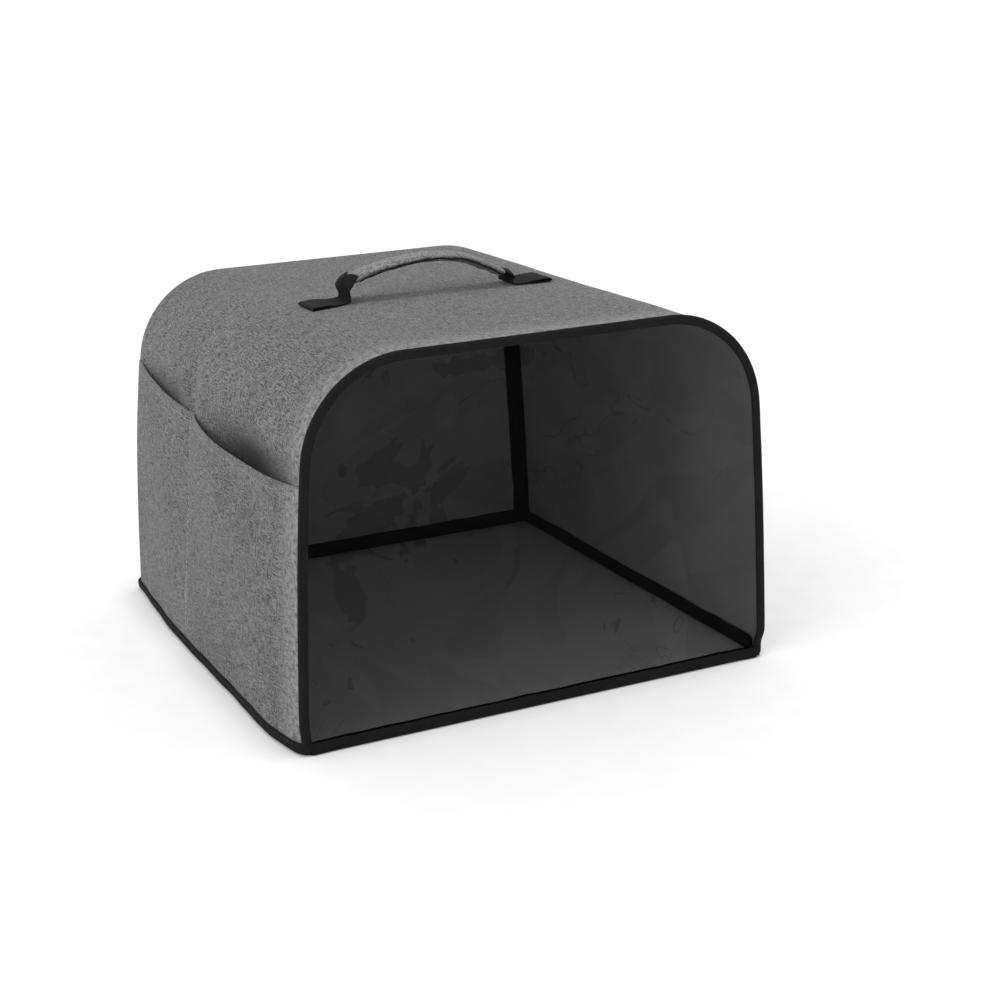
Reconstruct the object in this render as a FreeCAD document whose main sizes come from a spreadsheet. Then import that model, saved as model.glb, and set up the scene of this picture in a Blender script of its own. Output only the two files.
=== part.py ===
import FreeCAD, Part
import math
import os
import re
import Sketcher
from FreeCAD import Placement, Rotation, Vector

# Fabric appliance cover: a padded arch of cloth with a flat rear wall, a smoked film window at the
# front, a taped hem, a pocket on each side and a carrying handle on the top. The front faces -Y, and
# the origin is on the floor, in the middle of the hem. Sizes are in millimetres.

doc = FreeCAD.newDocument("appliance_cover")
sheet = doc.addObject("Spreadsheet::Sheet", "Sizes")

DRIVING = [
    ("overall_width", 340, "width over the hem tape"),
    ("overall_depth", 360, "depth from the front binding to the rear hem tape"),
    ("shell_height", 250, "floor to the top of the fabric, without the handle"),
    ("side_lean", 8, "how far each side wall leans in by the height of the top"),
    ("corner_radius", 70, "outer radius between a side wall and the top"),
    ("outer_thick", 1.0, "outer fabric"),
    ("foam_thick", 2.0, "foam padding"),
    ("lining_thick", 0.5, "lining"),
    ("window_thick", 0.5, "smoked film"),
    ("window_setback", 2.2, "front of the binding to the front of the film"),
    ("window_seat", 3.0, "how deep the film's edge goes into the binding"),
    ("binding_width", 5.5, "front binding, from the outer fabric's face inwards"),
    ("binding_depth", 5.0, "front binding, front to back"),
    ("binding_round", 1.5, "rounding of the front binding's front edges"),
    ("tape_thick", 0.6, "hem tape"),
    ("hem_height", 8.0, "height of the hem tape"),
    ("front_hem_thick", 2.5, "hem tape folded over the film's lower edge"),
    ("seam_tape_width", 10.5, "tape over the inner rear seam, each arm"),
    ("seam_tape_thick", 0.5, "tape over the inner rear seam"),
    ("pocket_thick", 1.0, "pocket fabric"),
    ("pocket_gape", 8.0, "how far the pocket's mouth stands off the wall"),
    ("pocket_foot_gape", 0.6, "how far the pocket's foot stands off the wall"),
    ("pocket_seam", 3.0, "width of the sewn-down strip at each end of a compartment"),
    ("pocket_rear_y", 164, "rear edge of the pocket"),
    ("pocket_divider_y", 38, "middle of the sewn divider"),
    ("pocket_rear_height", 180, "mouth's height at its rear end"),
    ("pocket_divider_height", 177, "mouth's height at the divider"),
    ("pocket_front_height", 174.5, "mouth's height at its front end"),
    ("pocket_rear_sag", 2.0, "dip of the mouth of the rear compartment"),
    ("pocket_front_sag", 9.0, "dip of the mouth of the front compartment"),
    ("handle_y", -7, "place of the handle along the depth"),
    ("grip_half_span", 57, "middle of the handle to the end of the grip"),
    ("grip_end_height", 11.5, "top of the shell to the centre of the grip's end"),
    ("grip_rise", 10, "rise of the grip's arch"),
    ("grip_diameter", 12.5, "grip over its sleeve"),
    ("sleeve_thick", 0.8, "sleeve of the grip"),
    ("webbing_width", 7.0, "webbing through the grip's core"),
    ("webbing_thick", 1.2, "webbing through the grip's core"),
    ("loop_wall", 1.6, "fabric of the loop round the grip's end"),
    ("loop_grasp", 5.5, "how far the loop covers the grip"),
    ("loop_cap", 5.0, "how far the loop runs past the end of the grip"),
    ("loop_end_thick", 2.2, "closed outer end of the loop"),
    ("loop_notch", 4.0, "gap between the loop's edges on top of the grip"),
    ("pivot_height", 10.0, "top of the shell to the line the handle swings about"),
    ("swing_clearance", 0.6, "gap between the swinging loop and the top, and between it and the tab"),
    ("tab_thick", 2.5, "folded webbing of the tab"),
    ("tab_length", 35.4, "tab from beside the loop to its outer edge"),
    ("tab_taper", 21.4, "stretch of the tab that widens from its neck"),
    ("tab_width", 28, "tab at its outer edge"),
    ("tab_neck_width", 15, "tab beside the loop"),
    ("patch_length", 44, "backing patch along the width"),
    ("patch_width", 38, "backing patch along the depth"),
    ("patch_thick", 0.6, "backing patch"),
    ("stitch_length", 3.0, "one stitch"),
    ("stitch_pitch", 5.0, "stitch to stitch"),
    ("stitch_width", 0.6, "thread's width"),
    ("stitch_thick", 0.3, "how far the thread stands up"),
    ("stitch_inset", 3.0, "stitching to the edge that it follows"),
]

DERIVED = [
    ("wall_thick", "=outer_thick + foam_thick + lining_thick", "whole wall"),
    ("padding_depth", "=outer_thick + foam_thick", "outer face to the lining"),
    ("lean_slope", "=side_lean / shell_height", "inward lean for each unit of height"),
    ("lean_cos", "=cos(atan(lean_slope))", "cosine of the side wall's lean"),
    ("lean_sin", "=sin(atan(lean_slope))", "sine of the side wall's lean"),
    ("corner_run", "=tan(45deg - atan(lean_slope) / 2)", "tangent length for each unit of radius"),
    ("foot_half", "=overall_width / 2 - tape_thick", "half-width of the outer fabric on the floor"),
    ("shell_front", "=-overall_depth / 2 + binding_depth", "front end of the arch"),
    ("rear_face", "=overall_depth / 2 - tape_thick", "outer face of the rear wall"),
    ("window_front", "=-overall_depth / 2 + window_setback", "front of the film"),
    ("loop_inner_x", "=grip_half_span - loop_grasp", "middle of the handle to the loop's inner edge"),
    ("loop_outer_x", "=grip_half_span + loop_cap", "middle of the handle to the loop's outer edge"),
    ("tab_inner_x", "=loop_outer_x + swing_clearance", "middle of the handle to the tab's neck"),
    ("tab_full_x", "=tab_inner_x + tab_taper", "middle of the handle to the tab's full width"),
    ("tab_outer_x", "=tab_inner_x + tab_length", "middle of the handle to the tab's outer edge"),
    ("grip_radius", "=(grip_half_span ^ 2 + grip_rise ^ 2) / (2 * grip_rise)", "radius of the grip's arch"),
    ("grip_top", "=shell_height + grip_end_height + grip_rise", "grip's centre at mid-span"),
    ("grip_centre", "=grip_top - grip_radius", "height of the centre of the grip's arch"),
]


def fill_sheet():
    """Writes each size, its name and its meaning on a row of its own."""
    for row, (alias, value, meaning) in enumerate(DRIVING + DERIVED, start=1):
        sheet.set(f"A{row}", alias)
        sheet.set(f"B{row}", str(value))
        sheet.set(f"C{row}", meaning)
        sheet.setAlias(f"B{row}", alias)
    doc.recompute()


fill_sheet()
NAMES = {alias for alias, _, _ in DRIVING + DERIVED}


def bound(formula):
    """The formula with each size's name pointing at its cell."""
    return re.sub(
        "[a-z_]+", lambda word: f"Sizes.{word[0]}" if word[0] in NAMES else word[0], formula
    )


def value_of(formula):
    """The formula's present value as a plain number."""
    result = sheet.evalExpression(bound(formula))
    return float(getattr(result, "Value", result))


# ---------------------------------------------------------------- outlines

def draw_outline(sketch, corners, arcs=None):
    """Draws a closed outline whose corners and arc radii are held by formulas.

    corners: (across, up) formulas in order; arcs: {edge: (radius formula, turn)}, where an edge
    runs from its corner to the next one and turn is 1 where the arc turns anticlockwise.
    """
    arcs = arcs or {}
    places = [Vector(value_of(across), value_of(up), 0) for across, up in corners]
    count = len(places)
    start_vertex = []
    end_vertex = []
    for edge, start in enumerate(places):
        end = places[(edge + 1) % count]
        if edge in arcs:
            radius, turn = value_of(arcs[edge][0]), arcs[edge][1]
            along = end - start
            reach = math.sqrt(max(radius ** 2 - along.Length ** 2 / 4, 0))
            side = Vector(-along.y, along.x, 0).normalize() * turn
            centre = (start + end) * 0.5 + side * reach
            first, last = (start, end) if turn > 0 else (end, start)
            circle = Part.Circle(centre, Vector(0, 0, 1), radius)
            arc = Part.ArcOfCircle(
                circle,
                math.atan2(first.y - centre.y, first.x - centre.x),
                math.atan2(last.y - centre.y, last.x - centre.x),
            )
            sketch.addGeometry(arc, False)
            start_vertex.append(1 if turn > 0 else 2)
            end_vertex.append(2 if turn > 0 else 1)
        else:
            sketch.addGeometry(Part.LineSegment(start, end), False)
            start_vertex.append(1)
            end_vertex.append(2)
    for edge in range(count):
        after = (edge + 1) % count
        join = Sketcher.Constraint("Coincident", edge, end_vertex[edge], after, start_vertex[after])
        sketch.addConstraint(join)
    for edge, (across, up) in enumerate(corners):
        for kind, formula, size in (("DistanceX", across, places[edge].x), ("DistanceY", up, places[edge].y)):
            index = sketch.addConstraint(
                Sketcher.Constraint(kind, -1, 1, edge, start_vertex[edge], size)
            )
            sketch.setExpression(f"Constraints[{index}]", bound(formula))
    for edge, (radius, _) in arcs.items():
        index = sketch.addConstraint(Sketcher.Constraint("Radius", edge, value_of(radius)))
        sketch.setExpression(f"Constraints[{index}]", bound(radius))


def arch_outline(inset, foot):
    """Corners and arcs of the arch `inset` inside the outer fabric's face, open below `foot`."""
    roof = f"( shell_height - ( {inset} ) )"
    radius = f"( corner_radius - ( {inset} ) )"
    run = f"( {radius} * corner_run )"
    at_foot = f"( foot_half - ( {inset} ) / lean_cos - ( {foot} ) * lean_slope )"
    at_roof = f"( foot_half - ( {inset} ) / lean_cos - {roof} * lean_slope )"
    side_x = f"( {at_roof} + {run} * lean_sin )"
    side_z = f"( {roof} - {run} * lean_cos )"
    roof_x = f"( {at_roof} - {run} )"
    corners = [
        (f"- {at_foot}", foot),
        (at_foot, foot),
        (side_x, side_z),
        (roof_x, roof),
        (f"- {roof_x}", roof),
        (f"- {side_x}", side_z),
    ]
    return corners, {2: (radius, 1), 4: (radius, 1)}


def free_sketch(name, upright):
    """A sketch outside any body, in the XZ plane if upright, otherwise in the XY plane."""
    sketch = doc.addObject("Sketcher::SketchObject", name)
    turn = Rotation(Vector(1, 0, 0), 90 if upright else 0)
    sketch.Placement = Placement(Vector(0, 0, 0), turn)
    return sketch


def extruded(name, sketch, direction, length):
    """A solid pulled out of the sketch along `direction`."""
    solid = doc.addObject("Part::Extrusion", name)
    solid.Base = sketch
    solid.DirMode = "Custom"
    solid.Dir = direction
    solid.Solid = True
    solid.setExpression("LengthFwd", bound(length))
    return solid


def arch_block(name, inset, foot, start, end):
    """The arch's outline as a solid block from depth `start` to depth `end`."""
    sketch = free_sketch(name + "_outline", upright=True)
    draw_outline(sketch, *arch_outline(inset, foot))
    sketch.setExpression("Placement.Base.y", bound(start))
    return extruded(name, sketch, Vector(0, 1, 0), f"( {end} ) - ( {start} )")


def boolean(kind, name, base, tool):
    """A Part::Cut or Part::Common of two objects."""
    result = doc.addObject(f"Part::{kind}", name)
    result.Base = base
    result.Tool = tool
    return result


def block(name, low, high):
    """A box between two corners given as formulas."""
    box = doc.addObject("Part::Box", name)
    for axis, side, start, end in zip("xyz", ("Length", "Width", "Height"), low, high):
        box.setExpression(f"Placement.Base.{axis}", bound(start))
        box.setExpression(side, bound(f"( {end} ) - ( {start} )"))
    return box


def mirrored(name, source):
    """The source's twin on the other side of the middle plane."""
    twin = doc.addObject("Part::Mirroring", name)
    twin.Source = source
    twin.Base = Vector(0, 0, 0)
    twin.Normal = Vector(1, 0, 0)
    return twin


THROUGH = "20"  # how far a cutting block runs past what it cuts


# ---------------------------------------------------------------- shell and rear wall

def arch_layer(label, outer, inner, rear_inset):
    """One layer of the arch, between two insets, ending `rear_inset` short of the rear face."""
    solid = arch_block(label + "_block", outer, "tape_thick", "shell_front", f"rear_face - {rear_inset}")
    hollow = arch_block(
        label + "_hollow", inner, "- 5", f"shell_front - {THROUGH}", f"rear_face + {THROUGH}"
    )
    return boolean("Cut", label, solid, hollow)


def origin_plane(body, role):
    """One of the body's own origin planes."""
    return next(item for item in body.Origin.OriginFeatures if item.Role == role)


def arch_panel(label, inset, foot, start, thick):
    """A flat panel with the arch's outline, `thick` deep, from depth `start` towards the rear."""
    body = doc.addObject("PartDesign::Body", label)
    sketch = body.newObject("Sketcher::SketchObject", label + "_outline")
    sketch.AttachmentSupport = [(origin_plane(body, "XZ_Plane"), "")]
    sketch.MapMode = "FlatFace"
    sketch.setExpression("AttachmentOffset.Base.z", bound(f"- ( {start} )"))
    draw_outline(sketch, *arch_outline(inset, foot))
    pad = body.newObject("PartDesign::Pad", label + "_pad")
    pad.Profile = sketch
    pad.Reversed = True
    pad.setExpression("Length", bound(thick))
    return body


shell_outer = arch_layer("shell_outer", "0", "outer_thick", "outer_thick")
shell_foam = arch_layer("shell_foam", "outer_thick", "padding_depth", "padding_depth")
shell_lining = arch_layer("shell_lining", "padding_depth", "wall_thick", "wall_thick")

rear_outer = arch_panel("rear_outer", "0", "tape_thick", "rear_face - outer_thick", "outer_thick")
rear_foam = arch_panel("rear_foam", "outer_thick", "tape_thick", "rear_face - padding_depth", "foam_thick")
rear_lining = arch_panel(
    "rear_lining", "padding_depth", "tape_thick", "rear_face - wall_thick", "lining_thick"
)


# ---------------------------------------------------------------- window and front binding

front_window = arch_panel(
    "front_window", "binding_width - window_seat", "tape_thick", "window_front", "window_thick"
)


def rounded_binding():
    """The binding round the window: an arch of tape, slotted for the film, with rounded front edges."""
    front = "- overall_depth / 2"
    solid = arch_block("binding_block", "0", "0", front, f"{front} + binding_depth")
    hollow = arch_block(
        "binding_hollow", "binding_width", "- 5", f"{front} - {THROUGH}", f"{front} + {THROUGH}"
    )
    ring = boolean("Cut", "binding_ring", solid, hollow)
    doc.recompute()
    front_y = value_of(front)
    foot_z = value_of("hem_height")
    rounding = doc.addObject("Part::Fillet", "binding_rounded")
    rounding.Base = ring
    size = value_of("binding_round")
    rounding.Edges = [
        (index, size, size)
        for index, edge in enumerate(ring.Shape.Edges, start=1)
        if all(abs(vertex.Y - front_y) < 1e-6 for vertex in edge.Vertexes)
        and max(vertex.Z for vertex in edge.Vertexes) > foot_z
    ]
    return boolean("Cut", "front_binding", rounding, front_window)


front_binding = rounded_binding()


# ---------------------------------------------------------------- hem tapes

HEM_REAR = "overall_depth / 2 - 2 * tape_thick - wall_thick"  # inner face of the rear length
SIDE_REACH = "overall_width"


def hem_ring():
    """Tape folded round the foot of the three fabric walls, in one ring."""
    outside = arch_block("hem_outside", "- tape_thick", "0", "shell_front", "overall_depth / 2")
    inside = arch_block(
        "hem_inside", "wall_thick + tape_thick", "- 5", f"shell_front - {THROUGH}", HEM_REAR
    )
    folded = boolean("Cut", "hem_folded", outside, inside)
    walls = arch_block("wall_block", "0", "tape_thick", f"shell_front - {THROUGH}", "rear_face")
    cavity = arch_block(
        "wall_cavity", "wall_thick", "- 5", f"shell_front - 2 * {THROUGH}", "rear_face - wall_thick"
    )
    fabric = boolean("Cut", "wall_fabric", walls, cavity)
    return boolean("Cut", "hem_ring", folded, fabric)


def hem_length(label, low_x, high_x, low_y, high_y):
    """The stretch of the hem ring inside a box as high as the hem."""
    window = block(label + "_stretch", (low_x, low_y, "0"), (high_x, high_y, "hem_height"))
    return boolean("Common", label, ring, window)


ring = hem_ring()
hem_tape_left = hem_length("hem_tape_left", f"- {SIDE_REACH}", "0", "shell_front", HEM_REAR)
hem_tape_right = hem_length("hem_tape_right", "0", SIDE_REACH, "shell_front", HEM_REAR)
hem_tape_rear = hem_length(
    "hem_tape_rear", f"- {SIDE_REACH}", SIDE_REACH, HEM_REAR, "overall_depth / 2 + 1"
)


def front_hem():
    """Tape folded over the film's lower edge, between the two feet of the front binding."""
    middle = "window_front + window_thick / 2"
    strip = arch_block(
        "front_hem_strip", "binding_width", "0",
        f"{middle} - front_hem_thick / 2", f"{middle} + front_hem_thick / 2",
    )
    low = (f"- {SIDE_REACH}", "- overall_depth", "0")
    trimmed = boolean("Common", "front_hem_low", strip, block(
        "front_hem_stretch", low, (SIDE_REACH, "0", "hem_height")
    ))
    return boolean("Cut", "hem_tape_front", trimmed, front_window)


hem_tape_front = front_hem()


def rear_seam_cover():
    """Tape over the inner seam of the rear wall: one arm on the lining of the arch, one on the rear."""
    corner = "rear_face - wall_thick"
    tape_face = "wall_thick + seam_tape_thick"
    length_arm = arch_block(
        "seam_arm_side", "wall_thick", "hem_height", f"{corner} - seam_tape_width", corner
    )
    length_hollow = arch_block(
        "seam_hollow_side", tape_face, "- 5", f"{corner} - {THROUGH}", f"{corner} - seam_tape_thick"
    )
    arms = boolean("Cut", "seam_arms", length_arm, length_hollow)
    opening = arch_block(
        "seam_hollow_rear", "wall_thick + seam_tape_width", "- 5",
        f"{corner} - {THROUGH}", f"{corner} + {THROUGH}",
    )
    return boolean("Cut", "rear_seam_tape", arms, opening)


rear_seam_tape = rear_seam_cover()


# ---------------------------------------------------------------- pockets

POCKET_LIFT = "15"  # how far the untrimmed panel runs past its mouth


def arc_radius(chord, sag):
    """Formula for the radius of an arc with this chord and sag."""
    return f"( ( {chord} ) ^ 2 + 4 * ( {sag} ) ^ 2 ) / ( 8 * ( {sag} ) )"


def pocket_section(name, height, gape, low_y, high_y):
    """A compartment's section at `height`: cloth that bulges between two sewn-down strips."""
    sketch = free_sketch(name, upright=False)
    wall = f"( foot_half - ( {height} ) * lean_slope )"
    face = f"( {wall} + pocket_thick )"
    seams = [low_y, f"{low_y} + pocket_seam", f"{high_y} - pocket_seam", high_y]
    bulge = arc_radius(f"{high_y} - ( {low_y} ) - 2 * pocket_seam", gape)
    corners = [(wall, along) for along in seams] + [(face, along) for along in reversed(seams)]
    draw_outline(sketch, corners, {1: (bulge, 1), 5: (bulge, -1)})
    sketch.setExpression("Placement.Base.z", bound(height))
    return sketch


def mouth_cutter(name, ends, heights, sag):
    """What is cut off above a compartment's mouth, whose edge dips between its two ends."""
    sketch = doc.addObject("Sketcher::SketchObject", name + "_edge")
    sketch.Placement = Placement(Vector(0, 0, 0), Rotation(Vector(1, 1, 1), 120))
    over = f"pocket_rear_height + 2 * {POCKET_LIFT}"
    corners = [
        (ends[0], heights[0]),
        (ends[1], heights[1]),
        (ends[1] + " + 5", heights[1]),
        (ends[1] + " + 5", over),
        (ends[0] + " - 5", over),
        (ends[0] + " - 5", heights[0]),
    ]
    draw_outline(sketch, corners, {0: (arc_radius(f"{ends[1]} - ( {ends[0]} )", sag), 1)})
    return extruded(name + "_above", sketch, Vector(1, 0, 0), "overall_width")


def pocket_panel(label, ends, heights, sag):
    """A compartment on the right, lofted from its foot on the hem tape and trimmed to its mouth."""
    loft = doc.addObject("Part::Loft", label + "_loft")
    loft.Sections = [
        pocket_section(label + "_foot", "hem_height", "pocket_foot_gape", *ends),
        pocket_section(label + "_head", f"( pocket_rear_height + {POCKET_LIFT} )", "pocket_gape", *ends),
    ]
    loft.Solid = True
    loft.Ruled = True
    return boolean("Cut", label, loft, mouth_cutter(label, ends, heights, sag))


pocket_right_front = pocket_panel(
    "pocket_right_front",
    ("shell_front", "pocket_divider_y"),
    ("pocket_front_height", "pocket_divider_height"),
    "pocket_front_sag",
)
pocket_right_rear = pocket_panel(
    "pocket_right_rear",
    ("pocket_divider_y", "pocket_rear_y"),
    ("pocket_divider_height", "pocket_rear_height"),
    "pocket_rear_sag",
)
pocket_left_front = mirrored("pocket_left_front", pocket_right_front)
pocket_left_rear = mirrored("pocket_left_rear", pocket_right_rear)


# ---------------------------------------------------------------- handle

def grip_arc(label, draw_section):
    """A section swept along the grip's arch: turned about the arch's centre, both ways from mid-span."""
    body = doc.addObject("PartDesign::Body", label)
    sketch = body.newObject("Sketcher::SketchObject", label + "_section")
    sketch.AttachmentSupport = [(origin_plane(body, "YZ_Plane"), "")]
    sketch.MapMode = "FlatFace"
    centre = value_of("grip_centre")
    sketch.addGeometry(Part.LineSegment(Vector(-10, centre, 0), Vector(10, centre, 0)), True)
    sketch.addConstraint(Sketcher.Constraint("Horizontal", 0))
    height = sketch.addConstraint(Sketcher.Constraint("DistanceY", -1, 1, 0, 1, centre))
    sketch.setExpression(f"Constraints[{height}]", bound("grip_centre"))
    draw_section(sketch)
    sweep = body.newObject("PartDesign::Revolution", label + "_arc")
    sweep.Profile = sketch
    sweep.ReferenceAxis = (sketch, ["Axis0"])
    sweep.Midplane = True
    return body, sweep


def draw_circle(sketch, radius):
    """A circle round the grip's centre line at mid-span."""
    centre = Vector(value_of("handle_y"), value_of("grip_top"), 0)
    circle = sketch.addGeometry(Part.Circle(centre, Vector(0, 0, 1), value_of(radius)), False)
    held = (
        ("DistanceX", (-1, 1, circle, 3), "handle_y"),
        ("DistanceY", (-1, 1, circle, 3), "grip_top"),
        ("Radius", (circle,), radius),
    )
    for kind, places, formula in held:
        index = sketch.addConstraint(Sketcher.Constraint(kind, *places, value_of(formula)))
        sketch.setExpression(f"Constraints[{index}]", bound(formula))


def draw_strap(sketch):
    """The webbing's flat section round the grip's centre line at mid-span."""
    first = sketch.GeometryCount
    side = "( webbing_width / 2 )"
    half = "( webbing_thick / 2 )"
    corners = [
        (f"handle_y - {side}", f"grip_top - {half}"),
        (f"handle_y + {side}", f"grip_top - {half}"),
        (f"handle_y + {side}", f"grip_top + {half}"),
        (f"handle_y - {side}", f"grip_top + {half}"),
    ]
    places = [Vector(value_of(across), value_of(up), 0) for across, up in corners]
    for edge, start in enumerate(places):
        sketch.addGeometry(Part.LineSegment(start, places[(edge + 1) % 4]), False)
    for edge, (across, up) in enumerate(corners):
        follows = first + (edge + 1) % 4
        sketch.addConstraint(Sketcher.Constraint("Coincident", first + edge, 2, follows, 1))
        for kind, formula in (("DistanceX", across), ("DistanceY", up)):
            index = sketch.addConstraint(
                Sketcher.Constraint(kind, -1, 1, first + edge, 1, value_of(formula))
            )
            sketch.setExpression(f"Constraints[{index}]", bound(formula))


def sleeve_section(sketch):
    """The sleeve's ring."""
    draw_circle(sketch, "grip_diameter / 2")
    draw_circle(sketch, "grip_diameter / 2 - sleeve_thick")


def core_section(sketch):
    """The foam core with its slot for the webbing."""
    draw_circle(sketch, "grip_diameter / 2 - sleeve_thick")
    draw_strap(sketch)


def loop_section(sketch):
    """The loop's ring round the sleeve."""
    draw_circle(sketch, "grip_diameter / 2 + loop_wall")
    draw_circle(sketch, "grip_diameter / 2")


def cap_section(sketch):
    """The loop's closed end, over the sleeve and the loop's own fabric."""
    draw_circle(sketch, "grip_diameter / 2 + loop_wall")


GRIP_TURN = "2 * asin( grip_half_span / grip_radius )"

grip_sleeve, sleeve_arc = grip_arc("grip_sleeve", sleeve_section)
grip_core, core_arc = grip_arc("grip_core", core_section)
handle_webbing, webbing_arc = grip_arc("handle_webbing", draw_strap)
for arc in (sleeve_arc, core_arc, webbing_arc):
    arc.setExpression("Angle", bound(GRIP_TURN))


def loop_slice(name, draw_section, start, end):
    """The part of an arc of the handle that lies between two distances from its middle."""
    body, sweep = grip_arc(name + "_arc", draw_section)
    sweep.setExpression("Angle", bound(f"2 * asin( ( loop_outer_x + {THROUGH} / 2 ) / grip_radius )"))
    low = (start, "handle_y - grip_diameter * 2", "shell_height")
    high = (end, "handle_y + grip_diameter * 2", "grip_top + grip_diameter")
    return boolean("Common", name, body, block(name + "_stretch", low, high))


def grip_loop():
    """The right loop: a ring open on top, closed at its outer end and rounded to swing clear of the roof."""
    cap_start = "loop_outer_x - loop_end_thick"
    sleeve_part = loop_slice("loop_sleeve", loop_section, "loop_inner_x", cap_start)
    notch = block(
        "loop_gap",
        ("loop_inner_x - 5", "handle_y - loop_notch / 2", "grip_top - grip_rise"),
        (cap_start, "handle_y + loop_notch / 2", "grip_top + grip_diameter"),
    )
    whole = doc.addObject("Part::Fuse", "loop_whole")
    whole.Base = boolean("Cut", "loop_open", sleeve_part, notch)
    whole.Tool = loop_slice("loop_cap_end", cap_section, cap_start, "loop_outer_x")
    room = doc.addObject("Part::Cylinder", "loop_swing_room")
    room.Placement = Placement(Vector(0, 0, 0), Rotation(Vector(0, 1, 0), 90))
    reach = f"( pivot_height + {THROUGH} )"
    room.setExpression("Radius", bound(reach))
    room.setExpression("Height", bound("2 * loop_outer_x"))
    room.setExpression("Placement.Base.y", bound("handle_y"))
    room.setExpression("Placement.Base.z", bound(f"shell_height + swing_clearance + {reach}"))
    return boolean("Common", "loop_right", whole, room)


loop_right = grip_loop()
loop_left = mirrored("loop_left", loop_right)


# ---------------------------------------------------------------- tabs and backing patches

def roof_piece(label, corners, outer, inner):
    """A piece of sheet that lies on the roof: an outline cut out of the layer between two insets."""
    sketch = free_sketch(label + "_outline", upright=False)
    draw_outline(sketch, corners)
    sketch.setExpression("Placement.Base.z", bound("shell_height - corner_radius"))
    column = extruded(label + "_column", sketch, Vector(0, 0, 1), "corner_radius + 20")
    over = arch_block(label + "_over", outer, "0", "- overall_depth / 2", "overall_depth / 2")
    under = arch_block(label + "_under", inner, "- 5", "- overall_depth", "overall_depth")
    return boolean("Common", label, column, boolean("Cut", label + "_layer", over, under))


tab_right = roof_piece(
    "tab_right",
    [
        ("tab_inner_x", "handle_y - tab_neck_width / 2"),
        ("tab_full_x", "handle_y - tab_width / 2"),
        ("tab_outer_x", "handle_y - tab_width / 2"),
        ("tab_outer_x", "handle_y + tab_width / 2"),
        ("tab_full_x", "handle_y + tab_width / 2"),
        ("tab_inner_x", "handle_y + tab_neck_width / 2"),
    ],
    "- tab_thick",
    "0",
)
tab_left = mirrored("tab_left", tab_right)

PATCH_MIDDLE = "( tab_outer_x + tab_inner_x ) / 2"
backing_patch_right = roof_piece(
    "backing_patch_right",
    [
        (f"{PATCH_MIDDLE} - patch_length / 2", "handle_y - patch_width / 2"),
        (f"{PATCH_MIDDLE} + patch_length / 2", "handle_y - patch_width / 2"),
        (f"{PATCH_MIDDLE} + patch_length / 2", "handle_y + patch_width / 2"),
        (f"{PATCH_MIDDLE} - patch_length / 2", "handle_y + patch_width / 2"),
    ],
    "wall_thick",
    "wall_thick + patch_thick",
)
backing_patch_left = mirrored("backing_patch_left", backing_patch_right)


# ---------------------------------------------------------------- stitching

def thread(start, end, across, up):
    """One stitch between two points of a surface: a flat box that stands on it."""
    side = across * value_of("stitch_width")
    corner = start - side / 2
    sides = [corner, corner + end - start, corner + end - start + side, corner + side, corner]
    return Part.Face(Part.makePolygon(sides)).extrude(up * value_of("stitch_thick"))


def stitch_row(start, end, across, up, settle=None):
    """Threads laid one after another along a line.

    start, end: ends of the row; across: direction of the thread's width; up: away from the surface;
    settle: moves a point of the line onto the surface, where that is curved.
    """
    settle = settle or (lambda point: point)
    along = end - start
    pitch, length = value_of("stitch_pitch"), value_of("stitch_length")
    count = max(1, int((along.Length - length) // pitch) + 1)
    direction = Vector(along).normalize()
    margin = (along.Length - (count - 1) * pitch - length) / 2
    threads = []
    for number in range(count):
        first = start + direction * (margin + number * pitch)
        threads.append(thread(settle(first), settle(first + direction * length), across, up))
    return threads


def thread_group(label, threads):
    """All the threads of one piece of sewing."""
    group = doc.addObject("Part::Feature", label)
    group.Shape = Part.makeCompound(threads)
    group.Placement = Placement()
    return group


def divider_threads():
    """The row up the right pocket's divider, on the pocket's face."""
    lean_sin, lean_cos = value_of("lean_sin"), value_of("lean_cos")
    up = Vector(lean_cos, 0, lean_sin)
    rise = Vector(-lean_sin, 0, lean_cos)
    foot = Vector(
        value_of("foot_half - hem_height * lean_slope + pocket_thick"),
        value_of("pocket_divider_y"),
        value_of("hem_height"),
    )
    inset = value_of("stitch_inset")
    reach = (value_of("pocket_divider_height") - foot.z) / lean_cos
    return stitch_row(foot + rise * inset, foot + rise * (reach - inset), Vector(0, 1, 0), up)


def on_tab(point):
    """The point moved up or down onto the tab's face, which follows the roof and its corner."""
    flat_end = value_of("foot_half - shell_height * lean_slope - corner_radius * corner_run")
    radius = value_of("corner_radius")
    past = max(abs(point.x) - flat_end, 0)
    face = math.sqrt((radius + value_of("tab_thick")) ** 2 - past ** 2) - radius
    return Vector(point.x, point.y, value_of("shell_height") + face)


def tab_threads():
    """The box of stitching on the full-width part of the right tab."""
    inset = value_of("stitch_inset")
    near, far = value_of("tab_full_x"), value_of("tab_outer_x") - inset
    front = value_of("handle_y - tab_width / 2") + inset
    rear = value_of("handle_y + tab_width / 2") - inset
    lift = Vector(0, 0, 1)
    clear = value_of("stitch_width")
    threads = []
    for depth in (front, rear):
        threads += stitch_row(Vector(near, depth, 0), Vector(far, depth, 0), Vector(0, 1, 0), lift, on_tab)
    for place in (near, far):
        threads += stitch_row(
            Vector(place, front + clear, 0), Vector(place, rear - clear, 0), Vector(-1, 0, 0), lift, on_tab
        )
    return threads


pocket_stitching_right = thread_group("pocket_stitching_right", divider_threads())
pocket_stitching_left = mirrored("pocket_stitching_left", pocket_stitching_right)
tab_stitching_right = thread_group("tab_stitching_right", tab_threads())
tab_stitching_left = mirrored("tab_stitching_left", tab_stitching_right)


# ---------------------------------------------------------------- checks and export

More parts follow.
